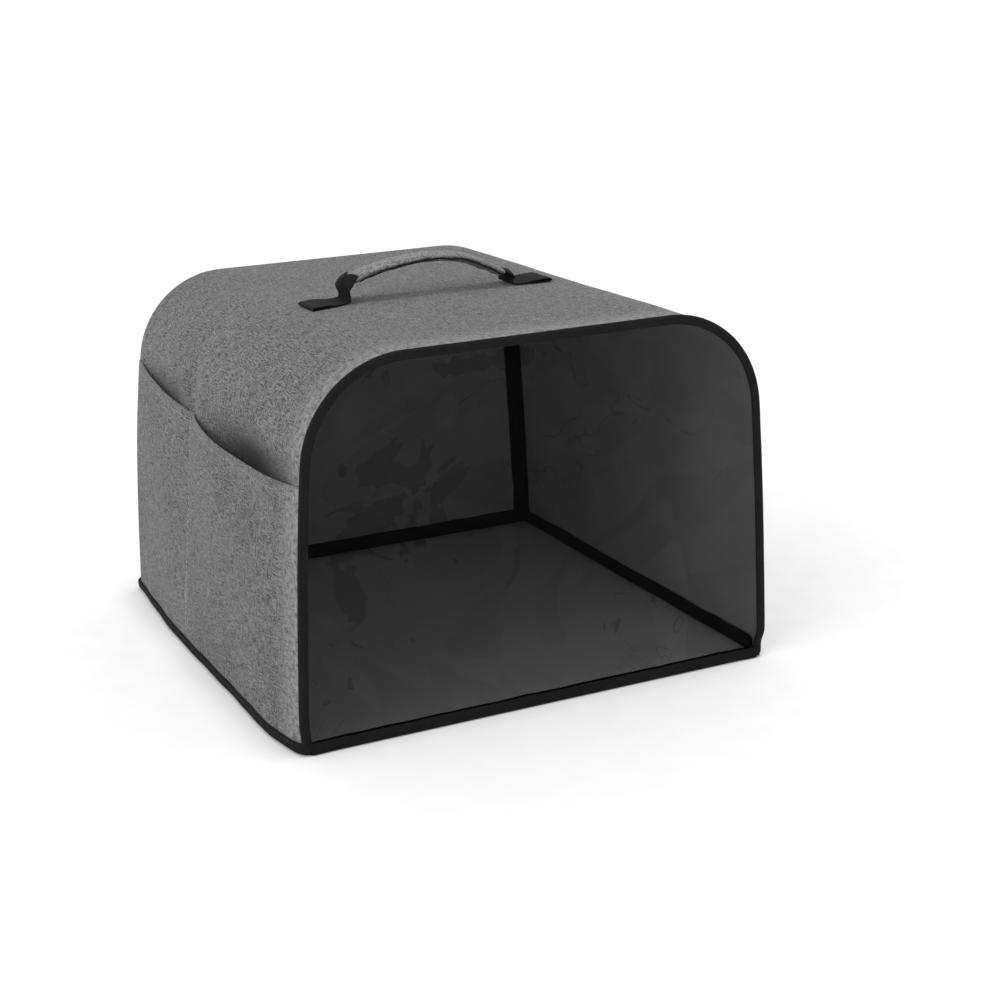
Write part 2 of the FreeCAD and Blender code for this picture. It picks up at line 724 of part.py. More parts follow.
SUB_PARTS = [
    shell_outer, shell_foam, shell_lining, rear_outer, rear_foam, rear_lining,
    front_window, front_binding, hem_tape_front, hem_tape_left, hem_tape_right, hem_tape_rear,
    rear_seam_tape, pocket_left_front, pocket_left_rear, pocket_right_front, pocket_right_rear,
    pocket_stitching_left, pocket_stitching_right,
    grip_sleeve, grip_core, handle_webbing, loop_left, loop_right, tab_left, tab_right,
    tab_stitching_left, tab_stitching_right, backing_patch_left, backing_patch_right,
]


def check_document():
    """Stops if any object failed or any sub-part has no valid solid."""
    for item in doc.Objects:
        if "Invalid" in item.State or "Error" in item.State:
            raise RuntimeError(f"{item.Label} failed: {item.State}")
    for item in SUB_PARTS:
        if item.Shape.isNull() or not item.Shape.isValid() or not item.Shape.Solids:
            raise RuntimeError(f"{item.Label} has no valid solid")


def export_parts():
    """Writes one STEP file for each sub-part."""
    os.makedirs("parts", exist_ok=True)
    for item in SUB_PARTS:
        item.Shape.exportStep(f"parts/{item.Label}.step")
        print(f"{item.Label}: {len(item.Shape.Solids)} solids, {item.Shape.Volume / 1000:.3f} cm3")


doc.recompute()
check_document()
export_parts()
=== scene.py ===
"""Fabric appliance cover: a padded arch of melange cloth with a smoked window, side pockets and a handle.

Every piece is cut flat as cloth is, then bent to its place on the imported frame. Sizes are metres. A place on the
arch has a distance along it from the left foot, a depth (y), and a distance out of the drawn outer cloth.
"""
import logging
from dataclasses import dataclass
from enum import Enum
from functools import cache, cached_property, partial, reduce
from math import asin, atan, atan2, copysign, cos, dist, exp, hypot, pi, radians, sin, sqrt, tan
from typing import Callable, Optional, Sequence

import bmesh
import bpy
from mathutils import Matrix, Vector, noise


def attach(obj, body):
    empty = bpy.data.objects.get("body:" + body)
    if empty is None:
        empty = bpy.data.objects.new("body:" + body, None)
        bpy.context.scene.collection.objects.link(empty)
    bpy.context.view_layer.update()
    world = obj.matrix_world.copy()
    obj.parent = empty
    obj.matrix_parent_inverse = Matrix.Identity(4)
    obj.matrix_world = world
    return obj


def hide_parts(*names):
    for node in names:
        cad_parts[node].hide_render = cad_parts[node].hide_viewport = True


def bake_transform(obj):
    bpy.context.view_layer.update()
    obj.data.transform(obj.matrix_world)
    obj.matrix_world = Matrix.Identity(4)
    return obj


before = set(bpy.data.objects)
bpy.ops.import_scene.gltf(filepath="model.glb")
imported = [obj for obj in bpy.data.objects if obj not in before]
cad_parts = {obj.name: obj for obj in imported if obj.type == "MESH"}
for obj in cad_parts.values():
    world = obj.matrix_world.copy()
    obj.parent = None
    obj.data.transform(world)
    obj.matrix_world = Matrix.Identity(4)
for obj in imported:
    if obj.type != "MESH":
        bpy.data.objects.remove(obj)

LOG = logging.getLogger("cover")
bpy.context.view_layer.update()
HALF_PI = pi / 2
CLOTH_PRESSURE, CLOTH_FRAMES, CLOTH_CAP, VOXEL = 4.0, 20, 0.0009, 0.0013
Colour = tuple[float, float, float, float]
Cut = bmesh.types.BMesh
Piece = bpy.types.Object
Socket = bpy.types.NodeSocket
Tree = bpy.types.NodeTree
Shaper = Callable[[Vector], Vector]
Route = Callable[[float], tuple[Vector, Vector]]


def grey(value: float, warmth: float = 0.0) -> Colour:
    """A grey of the given linear value, with a little red added and blue taken away by warmth."""
    return (value * (1 + warmth), value, value * (1 - warmth), 1.0)


def scaled(colour: Colour, factor: float, base: float = 0.0) -> Colour:
    """The colour times a factor, plus a base."""
    return tuple(c * factor + base for c in colour[:3]) + (1.0,)


def clip(value: float, high: float = 1.0) -> float:
    """The value held between 0 and high."""
    return min(max(value, 0.0), high)


def ease(share: float) -> float:
    """Smooth step from 0 to 1, held at both ends."""
    held = clip(share)
    return held * held * (3 - 2 * held)


def hump(value: float, middle: float, width: float) -> float:
    """Bell curve of height 1 at middle."""
    return exp(-(((value - middle) / width) ** 2))


def ripple(across: float, along: float, size: float, layer: float = 0.0) -> float:
    """Smooth noise from -1 to 1 whose bumps are about size apart; layer picks another pattern."""
    return noise.noise(Vector((across / size, along / size, layer)))


class Side(Enum):
    """Which side of the cover a piece is on, as the sign of x."""

    LEFT = -1
    RIGHT = 1

    @property
    def word(self) -> str:
        """The side's name in a piece's name."""
        return self.name.lower()


class Pattern(Enum):
    """Where a finish takes its thread directions from."""

    FLAT_CUT = "flat cut"
    BODY = "body"


class Surface(Enum):
    """What the relief of a plain finish is made of."""

    TWIST = "twisted thread"
    CELLS = "open cells"


class Graph:
    """Places nodes in one node tree and joins them."""

    def __init__(self, tree: Tree) -> None:
        """Keeps the tree that the nodes go in."""
        self.tree = tree

    def feed(self, node: bpy.types.Node, joins: dict) -> bpy.types.Node:
        """Sets or joins a node's inputs.

        Args:
            node: the node.
            joins: input name or index to a value or to the socket that feeds it.
        Returns:
            The same node.
        """
        for place, value in joins.items():
            if isinstance(value, Socket):
                self.tree.links.new(value, node.inputs[place])
            else:
                node.inputs[place].default_value = value
        return node

    def add(self, kind: str, joins: Optional[dict] = None, **settings: object) -> bpy.types.Node:
        """Adds a node.

        Args:
            kind: the node's type name, without ShaderNode.
            joins: as feed takes them.
            settings: the node's own properties.
        Returns:
            The new node.
        """
        node = self.tree.nodes.new(kind if kind.startswith("Node") else f"ShaderNode{kind}")
        for name, value in settings.items():
            setattr(node, name, value)
        return self.feed(node, joins or {})

    def group(self, tree: Tree, **joins: object) -> bpy.types.bpy_prop_collection:
        """Places a shared effect with its own values, and gives its outputs."""
        return self.add("Group", joins, node_tree=tree).outputs

    def maths(self, operation: str, first: object, second: object = 0.0, clamp: bool = False) -> Socket:
        """One Math node's result."""
        return self.add("Math", {0: first, 1: second}, operation=operation, use_clamp=clamp).outputs[0]

    def times(self, first: object, second: object, clamp: bool = False) -> Socket:
        """The product."""
        return self.maths("MULTIPLY", first, second, clamp)

    def plus(self, *parts: object, clamp: bool = False) -> Socket:
        """The sum."""
        return reduce(lambda total, part: self.maths("ADD", total, part, clamp), parts)

    def less(self, first: object, second: object) -> Socket:
        """The difference."""
        return self.maths("SUBTRACT", first, second)

    def mix(self, at_zero: object, at_one: object, share: Socket) -> Socket:
        """Two values mixed by a share."""
        return self.plus(self.times(at_zero, self.less(1.0, share)), self.times(at_one, share))

    def stretch(self, vector: Socket, scale: Sequence[float]) -> Socket:
        """The vector multiplied by a scale on each axis."""
        return self.add("VectorMath", {0: vector, 1: scale}, operation="MULTIPLY").outputs[0]

    def noise(self, vector: Socket, scale: object, detail: float = 2.0, twist: float = 0.0) -> Socket:
        """Noise of bumps 1/scale long, for each axis or for all, about 0 to 1."""
        scale = scale if isinstance(scale, tuple) else (scale,) * 3
        joins = {"Vector": self.stretch(vector, scale), "Scale": 1.0, "Detail": detail, "Distortion": twist}
        return self.add("TexNoise", joins).outputs["Fac"]

    def window(self, value: Socket, low: float, high: float, to_low: float = 0.0, to_high: float = 1.0) -> Socket:
        """The value's range low to high, smoothly mapped to the new range."""
        joins = {"Value": value, "From Min": low, "From Max": high, "To Min": to_low, "To Max": to_high}
        return self.add("MapRange", joins, interpolation_type="SMOOTHSTEP").outputs["Result"]

    def tint(self, share: object, first: object, second: object, blend: str = "MIX") -> Socket:
        """Two colours mixed by a share."""
        joins = {0: share, 6: first, 7: second}
        return self.add("Mix", joins, data_type="RGBA", blend_type=blend).outputs[2]

    def bump(self, height: Socket, distance: float, strength: float) -> Socket:
        """A normal raised by a height."""
        return self.add("Bump", {"Height": height, "Distance": distance, "Strength": strength}).outputs[0]

    def depth(self) -> Socket:
        """The body's depth, y."""
        return self.add("SeparateXYZ", {0: self.add("TexCoord").outputs["Object"]}).outputs[1]


def open_group(name: str, inputs: dict[str, object], *outputs: tuple[str, str]) -> tuple[Graph, object]:
    """Starts a node group.

    Args:
        name: the group's name.
        inputs: each input's name, with its standing value or, where it has none, its kind.
        outputs: each output's name and kind.
    Returns:
        A graph on the group, and its inputs.
    """
    tree = bpy.data.node_groups.new(name, "ShaderNodeTree")
    for label, kind in inputs.items():
        word = kind if isinstance(kind, str) else "Float"
        socket = tree.interface.new_socket(label, in_out="INPUT", socket_type=f"NodeSocket{word}")
        if word == "Float":
            socket.default_value = kind
    for label, kind in outputs:
        tree.interface.new_socket(label, in_out="OUTPUT", socket_type=f"NodeSocket{kind}")
    g = Graph(tree)
    return g, g.add("NodeGroupInput").outputs


@cache
def weave() -> Tree:
    """Threads over and under: plain at Twill 0 and diagonal at Twill 1."""
    inputs = {"Vector": "Vector", "Pitch": 0.0005, "Twill": 0.0}
    g, given = open_group("Weave", inputs, ("Height", "Float"), ("Gap", "Float"))
    axes = g.add("SeparateXYZ", {0: given["Vector"]}).outputs
    turns = [g.maths("DIVIDE", g.times(axes[k], pi), given["Pitch"]) for k in (0, 1)]
    plain = g.times(g.maths("SINE", turns[0]), g.maths("SINE", turns[1]))
    ribs = g.maths("SINE", g.plus(turns[0], g.times(turns[1], 0.5)))
    height = g.plus(g.times(g.mix(plain, ribs, given["Twill"]), 0.5), 0.5)
    g.add("NodeGroupOutput", {"Height": height, "Gap": g.window(height, 0.0, 0.35, 1.0, 0.0)})
    return g.tree


@cache
def melange() -> Tree:
    """Yarn spun from dark and light fibre: short slubs along both thread directions."""
    inputs = {"Vector": "Vector", "Dark": "Color", "Light": "Color", "Contrast": 1.0}
    g, given = open_group("Melange", inputs, ("Color", "Color"), ("Slub", "Float"))
    vector = given["Vector"]
    wander = g.stretch(g.noise(vector, 60, 1.0), (0.0012, 0.0012, 0))
    bent = g.add("VectorMath", {0: vector, 1: wander}, operation="ADD").outputs[0]
    warp, weft = g.noise(bent, (115, 1080, 115)), g.noise(bent, (1080, 115, 1080))
    turn = g.window(g.noise(vector, 150, 1.0), 0.38, 0.62)
    both = g.plus(g.times(g.mix(weft, warp, turn), 0.58), g.times(g.noise(vector, 880, 1.0), 0.42))
    slub = g.plus(g.times(g.times(g.less(both, 0.5), given["Contrast"]), 7.5), 0.5, clamp=True)
    shade = g.window(g.noise(vector, 14), 0.3, 0.7, 0.93, 1.06)
    tone = g.add("CombineColor", {0: shade, 1: shade, 2: shade}).outputs[0]
    colour = g.tint(1.0, g.tint(slub, given["Dark"], given["Light"]), tone, "MULTIPLY")
    g.add("NodeGroupOutput", {"Color": colour, "Slub": slub})
    return g.tree


@cache
def lint() -> Tree:
    """Dust and lint: sparse pale specks, and a thin haze in broad patches."""
    inputs = {"Vector": "Vector", "Color": "Color", "Dust": "Color", "Amount": 0.3}
    g, given = open_group("Lint", inputs, ("Color", "Color"))
    vector = given["Vector"]
    cells = g.add("TexVoronoi", {"Vector": vector, "Scale": 130.0, "Randomness": 1.0}).outputs["Distance"]
    specks = g.times(g.window(cells, 0.03, 0.09, 1.0, 0.0), g.window(g.noise(vector, 90, 0.0), 0.58, 0.66))
    haze = g.window(g.noise(vector, 22, 3.0), 0.45, 0.8, 0.0, 0.35)
    mask = g.times(g.maths("MAXIMUM", specks, haze), given["Amount"], clamp=True)
    g.add("NodeGroupOutput", {"Color": g.tint(mask, given["Color"], given["Dust"])})
    return g.tree


@cache
def wear() -> Tree:
    """Painted highlight: colour lightened by the share Edge and broken up by noise, standing in for light caught
    where the cloth turns to the front.
    """
    inputs = {"Vector": "Vector", "Color": "Color", "Rubbed": "Color", "Edge": 0.0}
    g, given = open_group("PaintedEdgeHighlight", inputs, ("Color", "Color"))
    mask = g.times(given["Edge"], g.window(g.noise(given["Vector"], 260, 3.0), 0.25, 0.75), clamp=True)
    g.add("NodeGroupOutput", {"Color": g.tint(mask, given["Color"], given["Rubbed"])})
    return g.tree


def start_material(name: str, pattern: Pattern) -> tuple[bpy.types.Material, Graph, bpy.types.Node, Socket]:
    """Starts a material.

    Args:
        name: the finish's name.
        pattern: where its coordinates come from.
    Returns:
        The material, a graph on its tree, its Principled shader and its coordinates.
    """
    material = bpy.data.materials.new(name)
    material.use_nodes = True
    material.node_tree.nodes.clear()
    g = Graph(material.node_tree)
    shader = g.add("BsdfPrincipled")
    g.add("OutputMaterial", {"Surface": shader.outputs[0]})
    if pattern is Pattern.FLAT_CUT:
        return material, g, shader, g.add("UVMap", uv_map="Cloth").outputs[0]
    return material, g, shader, g.add("TexCoord").outputs["Object"]


@dataclass(frozen=True)
class Fabric:
    """A woven finish.

    Args:
        name, slot: the material's name, and the record's material slot, which is not used.
        dark, light: colours of its two fibres.
        pitch, twill, relief: distance from thread to thread, 0 for plain to 1 for twill, and the weave's depth.
        roughness, sheen: how dull the threads are, and the fuzz at grazing angles.
        dust, contrast: how much lint lies on it, and how strongly the slubs show.
        edge_from: depth where a painted highlight starts, lightening the cloth towards the front edge where the tape
            presses it in, or None.
        gloss: strength of the threads' reflection.
        pattern: where the thread directions come from.
    """

    name: str
    slot: str
    dark: Colour
    light: Colour
    pitch: float = 0.0005
    twill: float = 0.0
    relief: float = 0.00012
    roughness: float = 0.9
    sheen: float = 0.15
    dust: float = 0.15
    contrast: float = 1.0
    edge_from: Optional[float] = None
    gloss: float = 0.25
    pattern: Pattern = Pattern.FLAT_CUT

    @cache
    def material(self) -> bpy.types.Material:
        """Builds the finish's node tree."""
        material, g, shader, vector = start_material(self.name, self.pattern)
        threads = g.group(weave(), Vector=vector, Pitch=self.pitch, Twill=self.twill)
        yarn = g.group(melange(), Vector=vector, Dark=self.dark, Light=self.light, Contrast=self.contrast)
        # Painted shade between threads: the weave's gaps darken the yarn's colour towards a darker copy of its dark
        # fibre.
        colour = g.tint(g.times(threads["Gap"], 0.3), yarn["Color"], scaled(self.dark, 0.45))
        if self.edge_from is not None:
            # Painted highlight: the cloth is lightened most at the front edge, fading out over 34 mm of depth.
            edge = g.window(g.depth(), self.edge_from, self.edge_from + 0.034, 1.0, 0.0)
            colour = g.group(wear(), Vector=vector, Color=colour, Edge=edge, Rubbed=scaled(self.light, 1.40))[0]
        pale = scaled(self.light, 0.5, 0.28)
        colour = g.group(lint(), Vector=vector, Color=colour, Dust=pale, Amount=self.dust)[0]
        # Painted shade: the point attribute deep darkens the colour almost to black above the pockets' open mouths,
        # standing in for the shadow in the gap.
        deep = g.add("Attribute", attribute_name="deep").outputs["Fac"]
        height = g.plus(g.times(threads["Height"], 0.6), g.times(yarn["Slub"], 0.7))
        g.feed(shader, {
            "Base Color": g.tint(deep, colour, scaled(self.dark, 0.08)),
            "Roughness": g.window(yarn["Slub"], 0.0, 1.0, self.roughness - 0.06, min(self.roughness + 0.05, 1.0)),
            "Normal": g.bump(height, self.relief, 0.9), "Specular IOR Level": self.gloss,
            "Sheen Weight": self.sheen, "Sheen Roughness": 0.45})
        return material


@dataclass(frozen=True)
class SmokedFilm:
    """Soft clear film tinted with smoke, patchy where handling has creased it, with painted reflections: darker and
    lighter patches and lines in its opacity stand in for what the wrinkled film reflects.

    Args:
        name, slot: the material's name, and the record's material slot, which is not used.
        tint: colour of the smoke.
        cover, patch_cover: share of the light that it stops where it is even, and in the creased patches, which are
            also painted darker as reflections.
    """

    name: str = "smoked_window_film"
    slot: str = "smoked_film"
    tint: Colour = grey(0.002)
    cover: float = 0.430
    patch_cover: float = 0.492

    @cache
    def material(self) -> bpy.types.Material:
        """Builds the film's node tree."""
        material, g, shader, vector = start_material(self.name, Pattern.BODY)
        crease = g.add("Attribute", attribute_name="crease").outputs["Fac"]
        # Painted reflections: facets, lines and faint make the film more opaque and darker, light makes it clearer,
        # in patches and thin lines; facets also follows the creased places.
        folds = g.noise(vector, (17, 1, 15), 2.0, 2.6)
        facets = g.window(g.plus(folds, g.times(crease, 0.30)), 0.715, 0.727)
        contour = g.maths("ABSOLUTE", g.less(g.noise(vector, (13, 1, 12), 2.0, 2.0), 0.5))
        broken = g.window(g.noise(vector, (16, 1, 14), 1.0), 0.48, 0.58)
        lines = g.times(g.window(contour, 0.0015, 0.0045, 0.055, 0.0), broken)
        faint = g.window(g.noise(vector, (9, 1, 13), 1.0, 2.0), 0.50, 0.515, 0.0, 0.014)
        light = g.window(g.noise(vector, (15, 1, 8), 1.0, 0.8), 0.63, 0.66, 0.0, -0.025)
        dark = g.times(facets, self.patch_cover - self.cover)
        ripples = g.plus(g.noise(vector, (30, 1, 20)), g.times(crease, 0.4))
        g.feed(shader, {
            "Base Color": g.tint(facets, self.tint, scaled(self.tint, 0.5)),
            "Alpha": g.plus(dark, lines, faint, light, self.cover),
            "Roughness": g.window(g.noise(vector, (700, 1, 60), 3.0), 0.62, 0.75, 0.12, 0.3),
            "Normal": g.bump(ripples, 0.0006, 0.5), "Specular IOR Level": 0.03})
        return material


@dataclass(frozen=True)
class Grain:
    """One colour with a fine relief: twisted thread, or the open cells of foam.

    Args:
        name, slot: the material's name, and the record's material slot, which is not used.
        colour: its lightest colour.
        surface: what its relief is made of.
    """

    name: str
    slot: str
    colour: Colour
    surface: Surface = Surface.TWIST

    @cache
    def material(self) -> bpy.types.Material:
        """Builds the finish's node tree."""
        material, g, shader, vector = start_material(self.name, Pattern.BODY)
        if self.surface is Surface.TWIST:
            joins = {"Vector": vector, "Scale": 900.0, "Distortion": 0.6}
            share = height = g.add("TexWave", joins, bands_direction="DIAGONAL").outputs["Fac"]
            shades, relief, rough = (0.6, 1.0), (0.0001, 0.6), (0.75, 0.55)
        else:
            height = g.add("TexVoronoi", {"Vector": vector, "Scale": 900.0}).outputs["Distance"]
            share = g.window(height, 0.1, 0.6)
            shades, relief, rough = (1.0, 0.5), (0.0004, 1.0), (0.85, 1.0)
        g.feed(shader, {"Base Color": g.tint(share, *(scaled(self.colour, shade) for shade in shades)),
                        "Roughness": g.window(share, 0.0, 1.0, *rough), "Normal": g.bump(height, *relief)})
        return material


Finish = Fabric | SmokedFilm | Grain
MELANGE = Fabric("melange_cover_cloth", "outer_fabric", grey(0.024), grey(0.184), contrast=1.45, edge_from=-0.176)
GRIP_CLOTH = Fabric("melange_grip_cloth", "outer_fabric", grey(0.085), grey(0.26), contrast=0.9, dust=0.05,
                    pattern=Pattern.BODY)
LINING = Fabric("pale_lining_cloth", "lining_fabric", grey(0.62), grey(0.80), 0.0004, relief=0.00004,
                contrast=0.35, dust=0.05, sheen=0.0)
TAPE = Fabric("black_binding_tape", "black_tape", grey(0.0045), grey(0.0110), 0.0007, 1.0, 0.00010,
              roughness=0.8, sheen=0.01, dust=0.03, contrast=0.8, gloss=0.12)
HEM = Fabric("black_hem_tape", "black_tape", grey(0.005), grey(0.012), 0.0007, 1.0, 0.00010,
             roughness=0.85, sheen=0.0, dust=0.02, contrast=0.8, gloss=0.10)
INNER_TAPE = Fabric("black_seam_tape", "black_tape", grey(0.0015), grey(0.004), 0.0007, 1.0, 0.00008,
                    sheen=0.0, dust=0.0, contrast=0.8, gloss=0.04)
WEBBING = Fabric("black_handle_webbing", "handle_webbing", grey(0.0035), grey(0.0105), 0.0010, 0.35, 0.00022,
                 roughness=0.85, sheen=0.01, dust=0.03, contrast=0.9, gloss=0.15)
FILM = SmokedFilm()
FOAM = Grain("padding_foam", "foam", grey(0.55, 0.02), Surface.CELLS)
BLACK_THREAD = Grain("black_thread", "thread", grey(0.022))
GREY_THREAD = Grain("grey_thread", "thread", grey(0.40))


def cut_flat(width: float, length: float, across: int, along: int) -> Cut:
    """A flat rectangle of cloth, middle at the origin, facing up.

    Args:
        width, length: size on x and y.
        across, along: faces on x and y.
    Returns:
        The cut, with the UV map Cloth in metres.
    """
    bm = bmesh.new()
    bmesh.ops.create_grid(bm, x_segments=across, y_segments=along, size=0.5)
    bmesh.ops.scale(bm, vec=(width, length, 1), verts=bm.verts[:])
    return lay_flat_coordinates(bm)


def lay_flat_coordinates(bm: Cut) -> Cut:
    """Writes each corner's flat place as the UV map Cloth, and gives the mesh back."""
    layer = bm.loops.layers.uv.verify()
    for face in bm.faces:
        for loop in face.loops:
            loop[layer].uv = loop.vert.co.xy
    return bm


def bend(bm: Cut, shaper: Shaper, turn_over: bool = False) -> Cut:
    """Moves each point of a cut to its place.

    Args:
        bm: the cut.
        shaper: gives a point's place from its flat place.
        turn_over: whether the cloth's face is then the other side.
    Returns:
        The same mesh.
    """
    for vert in bm.verts:
        vert.co = shaper(vert.co.copy())
    if turn_over:
        bmesh.ops.reverse_faces(bm, faces=bm.faces[:])
    bm.normal_update()
    return bm


def bare_piece(name: str, bm: Cut) -> Piece:
    """Makes an object of a mesh.

    Args:
        name: the piece's name.
        bm: its mesh, freed here.
    Returns:
        The smooth shaded object at the origin.
    """
    mesh = bpy.data.meshes.new(name)
    bm.to_mesh(mesh)
    bm.free()
    for layer in mesh.uv_layers:
        layer.name = "Cloth"
    mesh.shade_smooth()
    piece = bpy.data.objects.new(name, mesh)
    bpy.context.scene.collection.objects.link(piece)
    LOG.info("made %s", name)
    return piece


def dress(piece: Piece, finish: Finish, *nodes: str, body: Optional[str] = "root", thickness: float = 0.0,
                 rounds: int = 0, offset: float = -1.0) -> Piece:
    """Gives a bare piece its thickness, finish, nodes and body.

    Args:
        piece: the piece.
        finish: its finish.
        nodes: the CAD nodes that it stands for.
        body: the body that it rides on, or None where it crosses a joint.
        thickness: cloth thickness, or 0 for a closed mesh.
        rounds: levels of subdivision.
        offset: where the thickness lies: -1 behind the face, 0 on both sides.
    Returns:
        The same piece.
    """
    if thickness:
        wall = piece.modifiers.new("Thickness", "SOLIDIFY")
        wall.thickness, wall.offset = thickness, offset
    if rounds:
        smooth = piece.modifiers.new("Rounding", "SUBSURF")
        smooth.levels = smooth.render_levels = rounds
    piece.data.materials.clear()
    piece.data.materials.append(finish.material())
    if nodes:
        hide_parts(*nodes)
    if body:
        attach(piece, body)
    return piece


def mark(piece: Piece, name: str, value: Callable[[Vector], float]) -> None:
    """Writes a point attribute from each point's place."""
    layer = piece.data.attributes.new(name, "FLOAT", "POINT")
    for vert, spot in zip(piece.data.vertices, layer.data):
        spot.value = value(vert.co)


def between(points: Sequence[tuple], share: float) -> list[float]:
    """The place at a share of the way through a list of points, counted point by point."""
    spot = clip(share) * (len(points) - 1)
    first = min(int(spot), len(points) - 2)
    return [a + (b - a) * (spot - first) for a, b in zip(points[first], points[first + 1])]


def sew(name: str, rows: Sequence[tuple[Route, float]], pitch: float, size: Sequence[float],
        finish: Grain = BLACK_THREAD, nodes: Sequence[str] = ()) -> None:
    """Makes rows of stitches, each a small rounded grain that lies on the cloth.

    Args:
        name: the thread's name.
        rows: what gives a point and the outward direction at a distance along a row, and the row's length.
        pitch: distance from stitch to stitch.
        size: a stitch's length, width and height.
        finish: the thread.
        nodes: the CAD nodes that it stands for.
    """
    bm = bmesh.new()
    for route, length in rows:
        count = max(1, int(length / pitch))
        for k in range(count):
            middle = (k + 0.5) * length / count
            point, out = route(middle)
            run = (route(min(middle + 0.0005, length))[0] - route(max(middle - 0.0005, 0.0))[0]).normalized()
            up = (out - run * out.dot(run)).normalized()
            turn = Matrix((run, up.cross(run), up)).transposed().to_4x4()
            grain = Matrix.Translation(point) @ turn @ Matrix.Diagonal((*size, 1.0))
            bmesh.ops.create_uvsphere(bm, u_segments=6, v_segments=4, radius=0.5, matrix=grain)
    dress(bare_piece(name, bm), finish, *nodes)


@dataclass(frozen=True)
class ArchShape:
    """The arch that the shell, the window and the tapes share, on the outer cloth's face.

    Args:
        foot_half, height: half-width on the floor, and height of the roof.
        radius, slope: radius of the shoulders, and inward lean of the sides for each unit of height.
        front, rear, rear_round: depth of the front and rear faces, and radius of the soft rear edge.
        divider: depth of the pockets' divider.
    """

    foot_half: float = 0.1694
    height: float = 0.250
    radius: float = 0.070
    slope: float = 0.032
    front: float = -0.180
    rear: float = 0.1794
    rear_round: float = 0.004
    divider: float = 0.038

    @cached_property
    def lean(self) -> float:
        """Angle of the side walls from upright."""
        return atan(self.slope)

    @cached_property
    def corner(self) -> float:
        """What a shoulder takes off the straight side, and off the roof."""
        return self.radius * tan(pi / 4 - self.lean / 2)

    @cached_property
    def roof_half(self) -> float:
        """Half-width of the flat roof."""
        return self.foot_half - self.height * self.slope - self.corner

    @cached_property
    def side_length(self) -> float:
        """Length of a straight side from foot to shoulder."""
        return self.height / cos(self.lean) - self.corner

    @cached_property
    def bend_length(self) -> float:
        """Length round a shoulder."""
        return self.radius * (HALF_PI - self.lean)

    @cached_property
    def length(self) -> float:
        """Length over the whole arch from foot to foot."""
        return 2 * (self.side_length + self.bend_length + self.roof_half)

    def place(self, along: float, depth: float, out: float = 0.0) -> Vector:
        """A point on the arch.

        Args:
            along, depth, out: its distance along the arch, its depth, and its distance outwards.
        Returns:
            The point.
        """
        side = -1 if along < self.length / 2 else 1
        run = min(along, self.length - along)
        if run <= self.side_length:
            turn = self.lean
            x, z = self.foot_half - run * sin(turn), run * cos(turn)
        elif run <= self.side_length + self.bend_length:
            turn = self.lean + (run - self.side_length) / self.radius
            x = self.roof_half + self.radius * cos(turn)
            z = self.height - self.radius + self.radius * sin(turn)
        else:
            turn = HALF_PI
            x, z = self.roof_half - (run - self.side_length - self.bend_length), self.height
        return Vector((side * (x + out * cos(turn)), depth, z + out * sin(turn)))

    def inside(self, x: float, z: float) -> float:
        """Distance from the arch's outline in to a point of a flat panel."""
        if z > self.height - self.radius and abs(x) > self.roof_half:
            return self.radius - hypot(abs(x) - self.roof_half, z - self.height + self.radius)
        return min((self.foot_half - z * self.slope - abs(x)) * cos(self.lean), self.height - z)

    def give(self, along: float, depth: float) -> float:
        """How far the soft wall stands out of its drawn shape: slack, a bow at the foot and pulled places."""
        run = min(along, self.length - along)
        side = 0.0 if along < self.length / 2 else 7.3
        middle = ease((depth - self.front) / 0.04) * ease((self.rear - depth) / 0.03)
        slack = 0.0007 * ripple(along, depth, 0.085, side) + 0.00028 * ripple(along, depth, 0.030, 3 + side)
        wave = 0.0008 * ease(1 - run / 0.06) * ripple(depth, side, 0.045, 5)
        pressed = -0.0010 * ease(1 - (depth - self.front - 0.001) / 0.016)
        dent = -0.0020 * hump(depth, self.divider + 0.10 * (run - 0.18), 0.011)
        dent *= ease((run - 0.165) / 0.012) * ease((0.232 - run) / 0.04)
        sag = -0.0012 * hump(depth, 0.0, 0.13) * ease((run - self.side_length - 0.06) / 0.08)
        hollow = -0.0075 * hump(depth, -0.078, 0.050) * hump(run, 0.154, 0.024)
        hollow -= 0.0022 * hump(depth, 0.100, 0.040) * hump(run, 0.164, 0.016)
        return (slack + wave) * middle + pressed + dent + sag + hollow

    def settle(self, point: Vector, tucked: bool = True) -> Vector:
        """Spreads the soft walls at the foot, most on the left, and turns the front corners in under the hem.

        Args:
            point: a point of the drawn shape, changed here.
            tucked: whether it is cloth that goes under the hem's rounded corner.
        Returns:
            The same point in its settled place.
        """
        up, left = max(point.z, 0.0), point.x < 0
        foot = 0.0055 + 0.0015 * point.y / self.rear if left else 0.0032
        ends = ease((point.y - self.front) / 0.045) * ease((self.rear - point.y) / 0.12)
        bulge = (0.0060 if left else 0.0006) * ends * (1 - min(up / 0.17, 1.0)) ** 1.6
        corner = ease((0.019 - up) / 0.009) * ease(1 - (point.y - self.front) / 0.014) * tucked
        point.x += (foot * (1 - min(up / 0.185, 1.0) ** 2.8) + bulge) * point.x / self.foot_half
        point.x -= copysign(0.0021 * corner * ease((abs(point.x) - 0.150) / 0.015), point.x)
        point.y += 0.0019 * corner * ease((abs(point.x) - 0.158) / 0.010)
        return point

    def strip(self, profile: Sequence[tuple[float, float]], foot: float, cells: int,
              wobble: float) -> tuple[Cut, tuple[float, float]]:
        """A tape laid along the arch.

        Args:
            profile: (depth, out) points across the tape, about evenly spaced.
            foot: how far from each of the arch's feet it ends.
            cells: faces along it.
            wobble: how far its line wanders.
        Returns:
            The tape's middle surface, facing out of the profile's left side, and its flat size.
        """
        width = sum(dist(a, b) for a, b in zip(profile, profile[1:]))
        flat_size = self.length - 2 * foot, width

